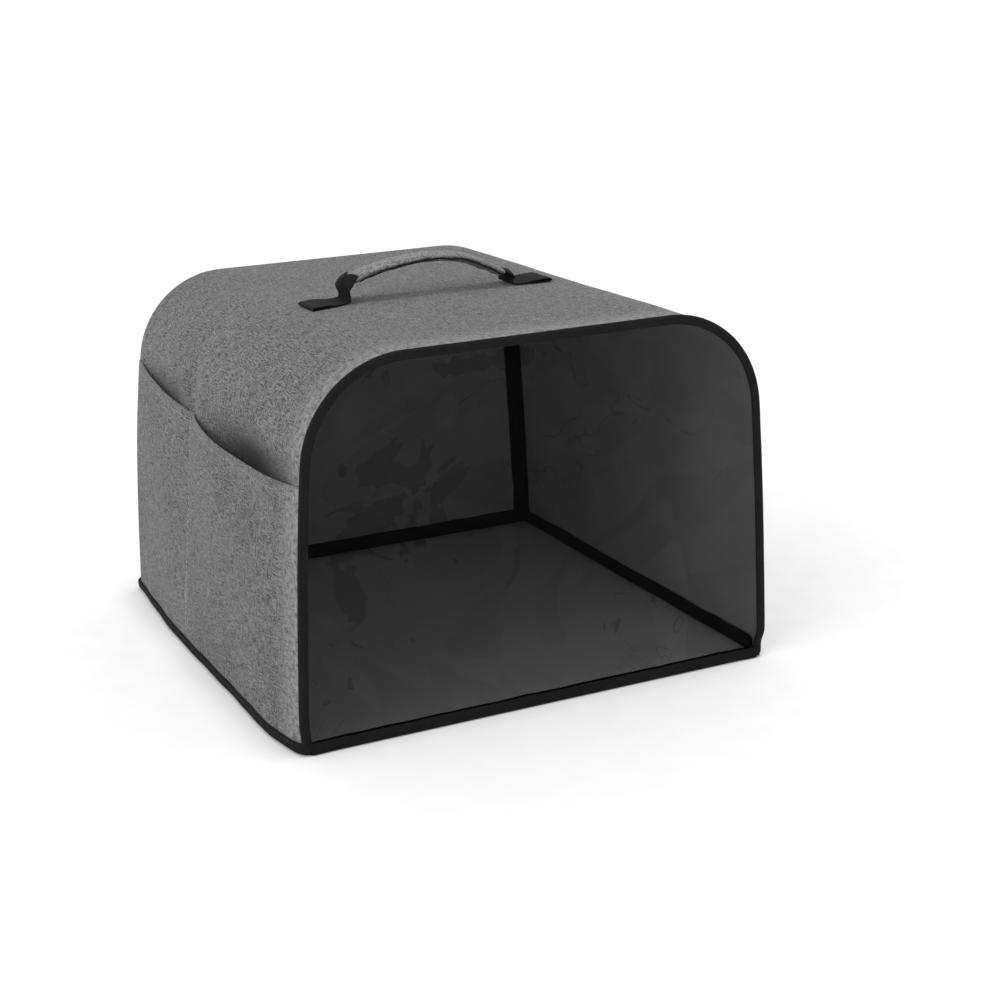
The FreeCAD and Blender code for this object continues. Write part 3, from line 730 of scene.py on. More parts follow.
        def laid(flat: Vector) -> Vector:
            """A point's place on the arch."""
            depth, out = between(profile, flat.y / width + 0.5)
            along = flat.x + self.length / 2
            shift = wobble * ripple(along, out * 4, 0.022, 9)
            lift = 0.35 * wobble * ripple(along, depth * 3, 0.012, 11)
            return self.settle(self.place(along, depth + shift, out + lift))

        return bend(cut_flat(*flat_size, cells, len(profile) - 1), laid), flat_size

    def panel(self, inset: float, across: int, up: int) -> Cut:
        """A flat arch-shaped cut on x and y, facing up, finer towards its rim.

        Args:
            inset: distance in from the outer cloth's face.
            across, up: faces across, and from foot to roof.
        Returns:
            The cut.
        """
        bm = bmesh.new()
        bmesh.ops.create_grid(bm, x_segments=across, y_segments=up, size=1.0)

        def outline(flat: Vector) -> Vector:
            """A grid point's place in the arch's outline."""
            rim = self.place((flat.y + 1) / 2 * (self.side_length + self.bend_length), 0.0, -inset)
            share = copysign(1 - (1 - abs(flat.x)) ** 1.5, flat.x)
            return Vector((-rim.x * share, max(rim.z, 0.0004), 0.0))

        return lay_flat_coordinates(bend(bm, outline))


ARCH = ArchShape()


@dataclass
class PaddedShell:
    """The padded arch and the padded rear wall: outer cloth, foam and lining in each.

    Args:
        cloth, foam, lining: thickness of each layer.
        start: depth of the cloth's front edge, inside the binding.
        cell: size of the cloth's faces.
    """

    cloth: float = 0.001
    foam: float = 0.002
    lining: float = 0.0005
    start: float = -0.1788
    cell: float = 0.006

    def layer(self, name: str, out: float, end: float, inward: bool = False) -> Piece:
        """One layer of the arch.

        Args:
            name: the piece's name.
            out: its face's distance outwards.
            end: how far back the flat cut reaches.
            inward: whether its face looks inside.
        Returns:
            The bare piece.
        """
        radius, depth = ARCH.rear_round, end - self.start
        turn_at = ARCH.rear - radius

        def laid(flat: Vector) -> Vector:
            """A point's place, rolled in at the rear edge."""
            along, reach = flat.x + ARCH.length / 2, flat.y + (self.start + end) / 2
            push = out + ARCH.give(along, reach)
            if reach > turn_at:
                angle = (reach - turn_at) / radius
                push -= radius * (1 - cos(angle))
                reach = turn_at + radius * sin(angle)
            return ARCH.settle(ARCH.place(along, reach, push))

        bm = cut_flat(ARCH.length, depth, round(ARCH.length / self.cell), round(depth / self.cell))
        return bare_piece(name, bend(bm, laid, turn_over=inward))

    @staticmethod
    def wall(name: str, inset: float, back: float, inward: bool = False, round_rim: bool = False) -> Piece:
        """One layer of the rear wall.

        Args:
            name: the piece's name.
            inset: distance of its outline from the drawn outer face.
            back: depth of its face.
            inward: whether its face looks inside.
            round_rim: whether its rim turns forward to meet the arch's cloth.
        Returns:
            The bare piece.
        """
        radius = ARCH.rear_round

        def laid(flat: Vector) -> Vector:
            """A point's place on the wall."""
            x, z = flat.x if inward else -flat.x, flat.y
            inside = ARCH.inside(x, z)
            uneven = 0.0009 * ripple(x, z, 0.09, 21) + 0.0003 * ripple(x, z, 0.03, 23)
            depth = back + uneven * ease(inside / 0.03)
            if round_rim:
                depth -= radius - sqrt(radius ** 2 - clip(radius - inside, radius * 0.75) ** 2)
                depth -= 0.0009 * ease((0.008 - inside) / 0.004)
            return ARCH.settle(Vector((x, depth, z)))

        return bare_piece(name, bend(ARCH.panel(inset, 56, 48), laid))

    def build(self) -> None:
        """Makes the six layers."""
        rear, skin, radius = ARCH.rear, self.cloth, ARCH.rear_round
        reach, lining_end = rear - radius + radius * 1.32, rear - 0.0036
        wide, high = 2 * ARCH.foot_half, ARCH.height
        outer = self.layer("cover_cloth", 0.0, reach)
        # The outer cloth's point attribute deep holds painted shade above both pockets' open mouths.
        mark(outer, "deep", SidePocket(Side.LEFT).deep)
        padding = self.layer("cover_padding", -skin, rear - 0.0035)
        inner = self.layer("cover_lining", -skin - self.foam - self.lining, lining_end, True)
        back = self.wall("rear_cloth", radius * (1 - cos(pi / 4)), rear, round_rim=True)
        pad = self.wall("rear_padding", 0.0046, rear - skin - 0.0001)
        liner = self.wall("rear_lining_cloth", 0.0032, rear - 0.0035, True)
        for piece, finish, node, thickness, flat, area in (
                (outer, MELANGE, "shell_outer", skin, (ARCH.length, reach - self.start), None),
                (padding, FOAM, "shell_foam", self.foam, None, None),
                (inner, LINING, "shell_lining", self.lining, (ARCH.length, lining_end - self.start), None),
                (back, MELANGE, "rear_outer", skin, (wide, high), 0.0823),
                (pad, FOAM, "rear_foam", self.foam, None, None),
                (liner, LINING, "rear_lining", self.lining, (wide - 0.006, high - 0.003), 0.0800)):
            dress(piece, finish, node, thickness=thickness, rounds=1)


@dataclass
class SmokedWindow:
    """The film that closes the front, slack between its seams, with the creases of having been folded.

    Args:
        inset: distance of the film's rim from the drawn outer face.
        depth: depth of the film's front face.
        creases: (x, z, x, z, width, height) of each crease.
        patches: (x, z, width, height, strength) of each crumple patch, which the film's painted reflections also
            darken.
    """

    inset: float = 0.0025
    depth: float = -0.1776
    creases: tuple = (
        (-0.143, 0.196, -0.065, 0.182, 0.0028, -0.0011), (-0.065, 0.182, -0.037, 0.162, 0.0026, 0.0012),
        (-0.037, 0.162, -0.008, 0.172, 0.0014, 0.0006), (-0.151, 0.192, -0.117, 0.155, 0.0030, 0.0013),
        (-0.117, 0.155, -0.121, 0.105, 0.0024, -0.0010), (-0.117, 0.155, -0.083, 0.146, 0.0030, 0.0010),
        (-0.083, 0.146, -0.037, 0.162, 0.0030, -0.0010), (-0.083, 0.146, -0.106, 0.118, 0.0022, 0.0011),
        (0.118, 0.060, 0.143, 0.020, 0.0022, 0.0012), (0.126, 0.068, 0.148, 0.030, 0.0018, -0.0010),
        (0.050, 0.150, 0.062, 0.135, 0.0018, 0.0007), (0.062, 0.135, 0.054, 0.112, 0.0018, -0.0007),
        (0.090, 0.235, 0.075, 0.160, 0.0040, 0.0009), (-0.060, 0.085, -0.052, 0.020, 0.0050, 0.0008),
        (0.020, 0.120, 0.030, 0.030, 0.0060, -0.0008), (-0.010, 0.225, 0.060, 0.218, 0.0030, 0.0006),
    )
    patches: tuple = (
        (-0.105, 0.155, 0.046, 0.042, 1.0), (-0.040, 0.236, 0.060, 0.008, 1.05), (-0.135, 0.105, 0.016, 0.045, 0.7),
        (0.060, 0.130, 0.018, 0.030, 0.35), (-0.05, 0.165, 0.03, 0.012, 0.6),
    )

    def crease_at(self, x: float, z: float) -> float:
        """How far the creases push the film out at a place."""
        push = 0.0
        for x1, z1, x2, z2, width, height in self.creases:
            run_x, run_z = x2 - x1, z2 - z1
            held = clip(((x - x1) * run_x + (z - z1) * run_z) / (run_x ** 2 + run_z ** 2))
            push += height * exp(-hypot(x - x1 - held * run_x, z - z1 - held * run_z) / width)
        return push

    def laid(self, flat: Vector) -> Vector:
        """A flat point's place in the window."""
        x, z, _ = flat
        free = ease((ARCH.inside(x, z) - self.inset) / 0.028) * ease(z / 0.03)
        soft = 0.0016 * ripple(x * 1.7, z, 0.080, 31) + 0.0007 * ripple(x * 1.4, z, 0.030, 33)
        soft += 0.0009 * ripple(x, z * 0.25, 0.030, 35) + self.crease_at(x, z)
        return ARCH.settle(Vector((x, self.depth - soft * free, z)))

    def crumple_and_reflection(self, point: Vector) -> float:
        """How much crumple the film has at a place, which also sets its painted reflection patches."""
        x, _, z = point
        return min(1.0, sum(s * hump(x, px, w) * hump(z, pz, h) for px, pz, w, h, s in self.patches))

    def build(self) -> None:
        """Makes the film and marks its crumple patches, which carry its ripples and painted reflections."""
        film = bare_piece("window_film", bend(ARCH.panel(self.inset, 96, 80), self.laid))
        mark(film, "crease", self.crumple_and_reflection)
        dress(film, FILM, "front_window", thickness=0.0005, rounds=1)


@dataclass
class EdgeTapes:
    """The black tapes: the front binding, the four hem lengths and the tape over the inner rear seam.

    Args:
        hem_top: height of the hem.
        binding_foot: height where the binding goes under the hem.
        pitch, stitch: distance between the hems' stitches, and their size.
    """

    hem_top: float = 0.0082
    binding_foot: float = 0.0052
    pitch: float = 0.0042
    stitch: tuple = (0.0031, 0.0006, 0.0005)

    @staticmethod
    def lay(name: str, node: str, bm: Cut, flat: tuple[float, float], finish: Fabric, thickness: float) -> None:
        """Finishes one tape."""
        piece = dress(bare_piece(name, bm), finish, node, thickness=thickness, rounds=1)

    def binding(self) -> None:
        """The tape folded over the front edge, with its row of stitches."""
        profile = ((-0.1784, -0.0040), (-0.1778, -0.0046), (-0.1787, -0.0051), (-0.1796, -0.0046),
                   (-0.1800, -0.0035), (-0.1801, -0.0021), (-0.1799, -0.0008), (-0.1793, 0.0002),
                   (-0.1783, 0.0006), (-0.1774, 0.0005), (-0.1782, -0.0001))
        bm, flat = ARCH.strip(profile[::-1], self.binding_foot, 190, 0.00022)
        self.lay("front_edge_tape", "front_binding", bm, flat, TAPE, 0.0006)

        def route(along: float) -> tuple[Vector, Vector]:
            """A place on the binding's face."""
            return ARCH.settle(ARCH.place(along + 0.010, -0.18005, -0.0040)), Vector((0, -1, 0))

        sew("front_edge_thread", [(route, ARCH.length - 0.020)], 0.0044, self.stitch)

    def seam_cover(self) -> None:
        """The tape over the inner seam between the arch and the rear wall."""
        profile = ((0.1656, -0.0038), (0.1690, -0.0037), (0.1725, -0.0038), (0.1750, -0.0040), (0.1756, -0.0048),
                   (0.1757, -0.0070), (0.1757, -0.0105), (0.1756, -0.0138))
        bm, flat = ARCH.strip(profile, 0.006, 150, 0.0003)
        bmesh.ops.reverse_faces(bm, faces=bm.faces[:])
        self.lay("rear_seam_cover", "rear_seam_tape", bm, flat, INNER_TAPE, 0.0005)

    def side_hem(self, side: Side) -> None:
        """The hem folded under one side wall."""
        sign = side.value
        profile = ((0.0017, 1.0), (0.0021, 0.72), (0.0021, 0.40), (0.0016, 0.12), (0.0006, 0.0), (-0.0020, 0.0),
                   (-0.0043, 0.0), (-0.0049, 0.12), (-0.0050, 0.70), (-0.0048, 1.5))
        turn, reach, outer, end = -0.1713, 0.0095, 0.0021, 0.1778
        start = turn - reach * HALF_PI
        width = 2.5 * self.hem_top + 0.005
        foot = 0.004 if side is Side.LEFT else ARCH.length - 0.004

        def laid(flat: Vector) -> Vector:
            """A point's place, rolled round the front corner."""
            depth = flat.x + (start + end) / 2
            out, up = between(profile, 0.5 - flat.y / width)
            top = 1 + 0.11 * ripple(depth, out, 0.030, 41 + sign) + 0.06 * ripple(depth, 0, 0.011, 43)
            z = up * top * self.hem_top
            out += 0.0003 * ripple(depth, up * 0.02, 0.013, 45) * ease(up * 2) + ARCH.give(foot, max(depth, turn))
            angle = max(turn - depth, 0.0) / reach
            away = reach + out - outer
            x = ARCH.foot_half + outer - reach + away * cos(angle) - z * ARCH.slope
            return ARCH.settle(Vector((sign * x, max(depth, turn) - away * sin(angle), z)), False)

        def route(along: float) -> tuple[Vector, Vector]:
            """A place on the hem's outer face."""
            depth = along + turn
            x = ARCH.foot_half + 0.0023 + ARCH.give(foot, depth) - 0.0060 * ARCH.slope
            return ARCH.settle(Vector((sign * x, depth, 0.0060)), False), Vector((sign, 0, 0))

        bm = bend(cut_flat(end - start, width, 72, len(profile) - 1), laid, turn_over=side is Side.LEFT)
        self.lay(f"hem_{side.word}", f"hem_tape_{side.word}", bm, (end - start, width), HEM, 0.0006)
        sew(f"hem_thread_{side.word}", [(route, end - turn - 0.006)], self.pitch, self.stitch)

    def end_hem(self, word: str, half: float, face: float, deep: float, sign: int, inner: float) -> None:
        """The hem folded under the window or the rear wall.

        Args:
            word: which end it is at, for its name.
            half: half its length.
            face: depth of its outer face.
            deep: thickness of what it wraps, tape included.
            sign: -1 where its outer face looks to the front and 1 to the rear.
            inner: height of its inner lip as a share of the outer one's.
        """
        profile = ((0.0, 1.0), (0.0002, 0.55), (0.0002, 0.14), (-0.0005, 0.0), (-deep + 0.0005, 0.0),
                   (-deep, 0.14), (-deep, 0.55 * inner), (-deep + 0.0001, inner))
        width = (1 + inner) * self.hem_top + deep

        def laid(flat: Vector) -> Vector:
            """A point's place."""
            out, up = between(profile, 0.5 - flat.y / width)
            top = 1 + 0.07 * ripple(flat.x, out * 9, 0.024, 51) + 0.05 * ripple(flat.x, 0, 0.009, 53)
            out += 0.0003 * ripple(flat.x, up * 0.02, 0.014, 55 + sign) * ease(up * 2)
            out += 0.0006 * ease((abs(flat.x) - 0.145) / 0.015)
            return ARCH.settle(Vector((flat.x, face + sign * out, up * top * self.hem_top)), False)

        def route(along: float) -> tuple[Vector, Vector]:
            """A place on the hem's outer face."""
            point = Vector((along - half + 0.008, face + sign * 0.0003, 0.0062))
            return ARCH.settle(point, False), Vector((0, sign, 0))

        bm = bend(cut_flat(2 * half, width, 60, len(profile) - 1), laid, turn_over=sign < 0)
        self.lay(f"hem_{word}", f"hem_tape_{word}", bm, (2 * half, width), HEM, 0.0006)
        sew(f"hem_{word}_thread", [(route, 2 * half - 0.016)], self.pitch, self.stitch)

    def build(self) -> None:
        """Makes every tape."""
        self.binding()
        for side in Side:
            self.side_hem(side)
        self.end_hem("front", 0.1632, -0.1790, 0.0026, -1, 1.0)
        self.end_hem("rear", 0.1696, 0.1797, 0.0044, 1, 1.5)
        self.seam_cover()


@dataclass
class SidePocket:
    """A wide pocket sewn on a side wall, with one divider, open and slack at its mouth.

    Args:
        side: the wall that it is sewn to.
        front, rear: depth of its front and rear seams.
        foot: height where the cloth goes under the hem.
        heights: mouth height at the front seam, the divider and the rear seam.
        sags, gapes: how far the mouth hangs between seams and stands open, front and rear.
        fold, turned: radius of the turned mouth, and where its rows lie past the top.
        rows: faces from the foot to the mouth.
    """

    side: Side
    front: float = -0.1785
    rear: float = 0.1725
    foot: float = 0.004
    heights: tuple = (0.1745, 0.1738, 0.1865)
    sags: tuple = (0.0046, 0.0010)
    gapes: tuple = (0.0098, 0.0042)
    fold: float = 0.0007
    turned: tuple = (0.0004, 0.0011, 0.0018, 0.0050, 0.0080)
    rows: int = 34

    def room(self, depth: float) -> tuple[float, float, float]:
        """The compartment at a depth: share across it, mouth height and gape there."""
        part = int(depth > ARCH.divider)
        low, high = (ARCH.divider, self.rear) if part else (self.front, ARCH.divider)
        share = clip((depth - low) / (high - low))
        first, last = self.heights[part:part + 2]
        top = first + (last - first) * share - 4 * self.sags[part] * share * (1 - share)
        return share, top, self.gapes[part] * sin(pi * share) ** 1.15

    def deep(self, point: Vector) -> float:
        """How strongly painted shade darkens the wall's cloth behind the pocket and just above its open mouth, from 0
        to 1.
        """
        if not self.front < point.y < self.rear:
            return 0.0
        share, top, _ = self.room(point.y)
        shade_here = hump(share, 0.43, 0.27) if point.y < ARCH.divider else 0.30 * hump(share, 0.4, 0.3)
        return shade_here * hump(max(point.z - top - 0.004, 0.0), 0.0, 0.0095)

    def out(self, depth: float, up: float) -> float:
        """How far the cloth's outer face stands off the drawn wall."""
        share, top, gape = self.room(depth)
        level = clip(up / top, 1.05)
        loose = sin(pi * share) * level
        folds = 0.0007 * ripple(depth, up * 0.55, 0.040, 61 + self.side.value) * loose
        puckers = 0.00025 * ripple(depth * 0.5, up, 0.007, 63) * hump(depth, ARCH.divider, 0.012)
        crease = 0.0004 * hump(depth, ARCH.divider, 0.004)
        run = up if self.side is Side.LEFT else ARCH.length - up
        return 0.0011 + ARCH.give(run, depth) + gape * level ** 2.4 + 0.0005 * loose + folds + puckers - crease

    def point(self, depth: float, up: float, lift: float = 0.0) -> Vector:
        """A point on the pocket's outer face, lifted off it by lift."""
        spot = ARCH.place(up, depth, self.out(depth, up) + lift)
        spot.x *= -self.side.value
        return ARCH.settle(spot)

    def edge(self, flat: Vector) -> tuple[float, float]:
        """The depth of a flat point, and the height there where the mouth starts to turn."""
        depth = (self.front + self.rear) / 2 - flat.x
        return depth, self.room(depth)[1] - self.fold

    def flat_cut(self, flat: Vector) -> Vector:
        """A grid point's place in the flat cut."""
        row = round((flat.y + 0.5) * (self.rows + len(self.turned)))
        up = self.foot + (self.edge(flat)[1] - self.foot) * min(row / self.rows, 1.0)
        return Vector((flat.x, up + (self.turned[row - self.rows - 1] if row > self.rows else 0.0), 0.0))

    def laid(self, flat: Vector) -> Vector:
        """A flat point's place on the wall, or in the turned mouth."""
        depth, top = self.edge(flat)
        past, around = flat.y - top, pi * self.fold
        if past <= 0:
            return self.point(depth, flat.y)
        if past < around:
            angle = past / self.fold
            return self.point(depth, top + self.fold * sin(angle), -self.fold * (1 - cos(angle)))
        return self.point(depth, top - (past - around), -2 * self.fold - 0.0002)

    def build(self) -> None:
        """Makes the panel with its turned mouth, and its threads."""
        word, width, middle = self.side.word, self.rear - self.front, ARCH.divider
        bm = lay_flat_coordinates(bend(cut_flat(width, 1.0, 70, self.rows + len(self.turned)), self.flat_cut))
        panel = bare_piece(f"pocket_panel_{word}", bend(bm, self.laid, turn_over=self.side is Side.RIGHT))
        dress(panel, MELANGE, f"pocket_{word}_front", f"pocket_{word}_rear", thickness=0.0008, rounds=1)
        outward = Vector((self.side.value, 0.0, ARCH.slope))

        def upright(along: float) -> tuple[Vector, Vector]:
            """A place on the row that parts the two compartments."""
            return self.point(middle, 0.011 + along, 0.0001), outward

        def mouth(along: float, low: float) -> tuple[Vector, Vector]:
            """A place on the row that holds the turned mouth, from depth low."""
            return self.point(low + along, self.room(low + along)[1] - 0.0070, 0.00005), outward

        sew(f"divider_thread_{word}", [(upright, 0.163)], 0.0042, (0.0036, 0.0009, 0.0006), GREY_THREAD,
            [f"pocket_stitching_{word}"])
        ends = ((self.front + 0.006, middle - 0.003), (middle + 0.003, self.rear - 0.003))
        sew(f"mouth_thread_{word}", [(partial(mouth, low=low), high - low) for low, high in ends], 0.0036,
            (0.0026, 0.0005, 0.0003), GREY_THREAD)


@dataclass
class CarryHandle:
    """A padded grip with a webbing strap wrapped round each end and sewn down on the roof.

    Args:
        depth, half_span: depth of the handle's middle, and half the grip's span.
        arc_radius, arc_centre: radius of the grip's arch, and height of that arch's centre.
        grip_half_width, grip_half_depth: half the padded grip's width across the depth, and half its thickness.
        webbing, strap_size: thickness of the strap, and its flat width and length.
        stations: the strap's middle line from its turned-under end to the loop's top: distance from the
            middle of the handle, height and half-width of the strap.
        right_height: the right loop's height as a share of the left one's, because that end lies lower.
        neck: height where the strap starts to turn with the handle; not used.
        seam_angle: angle of the sleeve's seam round the grip, in degrees from the top.
        left_skew, left_reach: how far the left tab turns to the front for each unit outwards, and how much
            longer it is, as a share.
        tab_root: distance from the middle where that tab starts.
    """

    depth: float = -0.007
    half_span: float = 0.0575
    arc_radius: float = 0.1318
    arc_centre: float = 0.1397
    grip_half_width: float = 0.0110
    grip_half_depth: float = 0.0036
    webbing: float = 0.0012
    strap_size: tuple = (0.028, 0.085)
    stations: tuple = (
        (0.0780, 0.25025, 0.0139), (0.0830, 0.25025, 0.0140), (0.0880, 0.25025, 0.0141), (0.0912, 0.25025, 0.0141),
        (0.0926, 0.25045, 0.0141), (0.0932, 0.25110, 0.0142), (0.0925, 0.25185, 0.0142), (0.0908, 0.25205, 0.0142),
        (0.0880, 0.25205, 0.0142), (0.0850, 0.25205, 0.0142), (0.0820, 0.25200, 0.0141), (0.0792, 0.25185, 0.0140),
        (0.0768, 0.25150, 0.0138), (0.0746, 0.25120, 0.0135), (0.0724, 0.25100, 0.0132), (0.0703, 0.25095, 0.0129),
        (0.0683, 0.25095, 0.0126), (0.0664, 0.25100, 0.0123), (0.0646, 0.25110, 0.0120), (0.0632, 0.25150, 0.0117),
        (0.0626, 0.25220, 0.0113), (0.0625, 0.25310, 0.0110), (0.0626, 0.25410, 0.0109), (0.0629, 0.25520, 0.0111),
        (0.0634, 0.25640, 0.0117), (0.0641, 0.25760, 0.0125), (0.0647, 0.25880, 0.0133), (0.0651, 0.26010, 0.0139),
        (0.0652, 0.26150, 0.0142), (0.0650, 0.26290, 0.0142), (0.0645, 0.26430, 0.0138), (0.0634, 0.26570, 0.0131),
        (0.0619, 0.26690, 0.0122), (0.0601, 0.26790, 0.0112), (0.0582, 0.26880, 0.0100),
    )
    right_height: float = 0.54
    neck: float = 0.2522
    seam_angle: float = -106.0
    left_skew: float = 0.38
    left_reach: float = 0.10
    tab_root: float = 0.0650

    @cached_property
    def tilt(self) -> float:
        """Slope of the grip at its ends."""
        return asin(self.half_span / self.arc_radius)

    @staticmethod
    def lift(verts: Sequence) -> None:
        """Lays points of the drawn grip on its settled line, highest at the left end and lowest at the right."""
        for vert in verts:
            x = vert.co.x
            vert.co.z += 0.0034 + 0.0018 * ease((-x - 0.020) / 0.0375) - 0.0041 * ease((x - 0.022) / 0.036)

    def rod(self, radius: float, sides: int, steps: int, flatten: float = 1.0, reach: float = 1.0) -> Cut:
        """A closed rod that follows the grip's drawn arch.

        Args:
            radius: half its thickness across the depth.
            sides, steps: faces round it and along it.
            flatten: its height as a share of its depth.
            reach: its half-angle as a share of the grip's.
        Returns:
            The rod.
        """
        bm = bmesh.new()
        angle, centre = self.tilt * reach, Vector((0, self.depth, self.arc_centre))
        ring = bmesh.ops.create_circle(bm, cap_ends=True, segments=sides, radius=radius)["verts"]
        bmesh.ops.scale(bm, vec=(1, flatten, 1), verts=ring)
        for axis in "XZ":
            bmesh.ops.rotate(bm, matrix=Matrix.Rotation(HALF_PI, 3, axis), verts=ring)
        bmesh.ops.translate(bm, vec=(0, self.depth, self.arc_centre + self.arc_radius), verts=ring)
        bmesh.ops.rotate(bm, cent=centre, matrix=Matrix.Rotation(-angle, 3, "Y"), verts=ring)
        bmesh.ops.spin(bm, geom=bm.faces[:] + bm.edges[:] + bm.verts[:], cent=centre, axis=(0, 1, 0),
                       angle=2 * angle, steps=steps, use_merge=False)
        bmesh.ops.remove_doubles(bm, verts=bm.verts[:], dist=1e-6)
        inner = [f for f in bm.faces if all(len(e.link_faces) > 2 for e in f.edges)]
        bmesh.ops.delete(bm, geom=inner, context="FACES")
        bmesh.ops.recalc_face_normals(bm, faces=bm.faces[:])
        return bm

    @staticmethod
    def swell(sleeve: Piece) -> None:
        """Blows the grip's sleeve up against its foam by cloth pressure, and keeps each point near its start.

        Args:
            sleeve: the sleeve, remeshed and changed in place.
        """
        remesh = sleeve.modifiers.new("Even faces", "REMESH")
        remesh.mode, remesh.voxel_size = "VOXEL", VOXEL
        even = sleeve.evaluated_get(bpy.context.evaluated_depsgraph_get())
        sleeve.data = bpy.data.meshes.new_from_object(even)
        sleeve.modifiers.clear()
        cloth = sleeve.modifiers.new("Padding", "CLOTH")
        settings, scene = cloth.settings, bpy.context.scene
        settings.use_pressure, settings.uniform_pressure_force, settings.quality = True, CLOTH_PRESSURE, 5
        settings.effector_weights.gravity = 0.0
        settings.tension_stiffness = settings.compression_stiffness = 12.0
        settings.bending_stiffness = 0.6
        for number in range(1, CLOTH_FRAMES + 1):
            scene.frame_set(number)
        settled = sleeve.evaluated_get(bpy.context.evaluated_depsgraph_get())
        moved = [v.co.copy() for v in settled.data.vertices]
        sleeve.modifiers.remove(cloth)
        scene.frame_set(1)
        for vert, new in zip(sleeve.data.vertices, moved):
            shift = new - vert.co
            vert.co += shift.normalized() * min(shift.length, CLOTH_CAP)

    def around(self, point: Vector) -> tuple[float, float, Vector, float]:
        """A point seen from the grip's middle line.

        Args:
            point: a point on or near the grip.
        Returns:
            Distance along the grip, angle round its flat section with 0 on top, the middle line's point, and
            distance from it.
        """
        turn = atan2(point.x, point.z - self.arc_centre)
        middle = Vector((sin(turn), 0, cos(turn))) * self.arc_radius + Vector((0, self.depth, self.arc_centre))
        rise = hypot(point.x, point.z - self.arc_centre) - self.arc_radius
        aside = point.y - self.depth
        angle = atan2(aside / self.grip_half_width, rise / self.grip_half_depth)
        return turn * self.arc_radius, angle, middle, hypot(rise, aside)

    def sleeve(self) -> None:
        """The sleeve over its foam, puckered along its sewn seam."""
        wide, deep = self.grip_half_width - 0.0006, self.grip_half_depth - 0.0005
        sleeve = bare_piece("grip_padded_sleeve", self.rod(wide, 28, 60, deep / wide))
        self.swell(sleeve)
        for vert in sleeve.data.vertices:
            along, angle, middle, away = self.around(vert.co)
            seam = angle - radians(self.seam_angle)
            seam = atan2(sin(seam), cos(seam))
            lumps = 0.00022 * ripple(along, angle * 0.004, 0.018, 71)
            lumps += 0.00012 * ripple(along, angle * 0.004, 0.007, 73)
            lumps += 0.0006 * hump(along, 0.047, 0.008) * sin(angle * 2 + along * 480)
            pull = -0.0010 * hump(seam, 0.0, 0.22) * (0.8 + 0.25 * ripple(along, 0, 0.008, 75))
            if away > 0.0015:
                vert.co += (vert.co - middle).normalized() * (lumps + pull)
        self.lift(sleeve.data.vertices)
        sleeve.data.shade_smooth()
        dress(sleeve, GRIP_CLOTH, "grip_sleeve", body="handle", rounds=1)

    def grip_seam(self) -> None:
        """The rolled seam of the sleeve, which wanders along its underside."""
        bm = self.rod(0.00060, 8, 110, reach=0.96)
        angle = radians(self.seam_angle)
        out, aside = (self.grip_half_depth - 0.0004) * cos(angle), (self.grip_half_width - 0.0004) * sin(angle)
        for vert in bm.verts:
            along, _, middle, _ = self.around(vert.co)
            radial = (middle - Vector((0, self.depth, self.arc_centre))).normalized()
            vert.co += radial * (out + 0.0006 * ripple(along, 0, 0.010, 77))
            vert.co.y += aside + 0.0003 * ripple(along, 0, 0.007, 79)
        self.lift(bm.verts)
        dress(bare_piece("grip_seam", bm), WEBBING, body="handle", rounds=1)

    def core(self, name: str, node: str, finish: Finish, *size: float) -> Piece:
        """One of the rods inside the grip.

        Args:
            name: the piece's name.
            node: the CAD node that it stands for.
            finish: its finish.
            size: what rod takes.
        Returns:
            The piece.
        """
        bm = self.rod(*size)
        self.lift(bm.verts)
        return dress(bare_piece(name, bm), finish, node, body="handle")

    def strap_place(self, side: Side, share: float, across: float) -> Vector:
        """A point of the strap.

        Args:
            side: which end of the grip.
            share: place along the strap, from its turned-under end at 0 to the loop's top at 1.
            across: place across the strap, from -1 to 1.
        Returns:
            The point on the strap's middle surface.
        """
        x, z, half = between(self.stations, share)
        row = share * (len(self.stations) - 1)
        aside, wrapped = across * half, ease((row - 24) / 6)
        fold_over = self.grip_half_depth * (1 - sqrt(max(1 - (aside / 0.0142) ** 2, 0.0)))
        notch = 0.0040 * ease((row - 29) / 4) * (1 - ease(abs(across) / 0.42))
        x += notch * cos(self.tilt) - wrapped * (0.0024 * across ** 2 + fold_over * 0.4)
        z -= notch * sin(self.tilt) + wrapped * ease((row - 27) / 5) * fold_over
        wander = 0.0004 * ripple(row * 0.3, 0, 1.0, 83 + side.value)
        if side is Side.RIGHT:
            aside *= 1 - 0.22 * wrapped
            z += max(z - 0.2510, 0.0) * (self.right_height - 1) * ease((row - 17) / 4)
        else:
            wander -= self.left_skew * max(x - self.tab_root, 0.0)
            x += self.left_reach * max(x - self.tab_root, 0.0)
        drop = ARCH.place(ARCH.length / 2 - max(x, 0.0), 0.0).z - ARCH.height
        sag = ARCH.give(ARCH.length / 2 - x, self.depth)
        z += 0.00025 * ripple(row * 0.4, across * 1.2, 1.0, 81 + side.value) + 0.0001
        return Vector((side.value * x, self.depth + aside + wander, z + (drop + sag) * (1 - ease((row - 18) / 4))))

    def strap(self, side: Side) -> None:
        """One strap: turned under at its outer end, sewn down, necked and wrapped round the grip's end."""
        width, length = self.strap_size

        def laid(flat: Vector) -> Vector:
            """A point's place."""
            return self.strap_place(side, flat.y / length + 0.5, flat.x / (width / 2))

        bm = bend(cut_flat(width, length, 16, len(self.stations) - 1), laid, turn_over=side is Side.LEFT)
        strap = dress(bare_piece(f"strap_{side.word}", bm), WEBBING, f"tab_{side.word}", f"loop_{side.word}",
                             body=None, thickness=self.webbing, rounds=2, offset=0.0)
        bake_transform(strap)

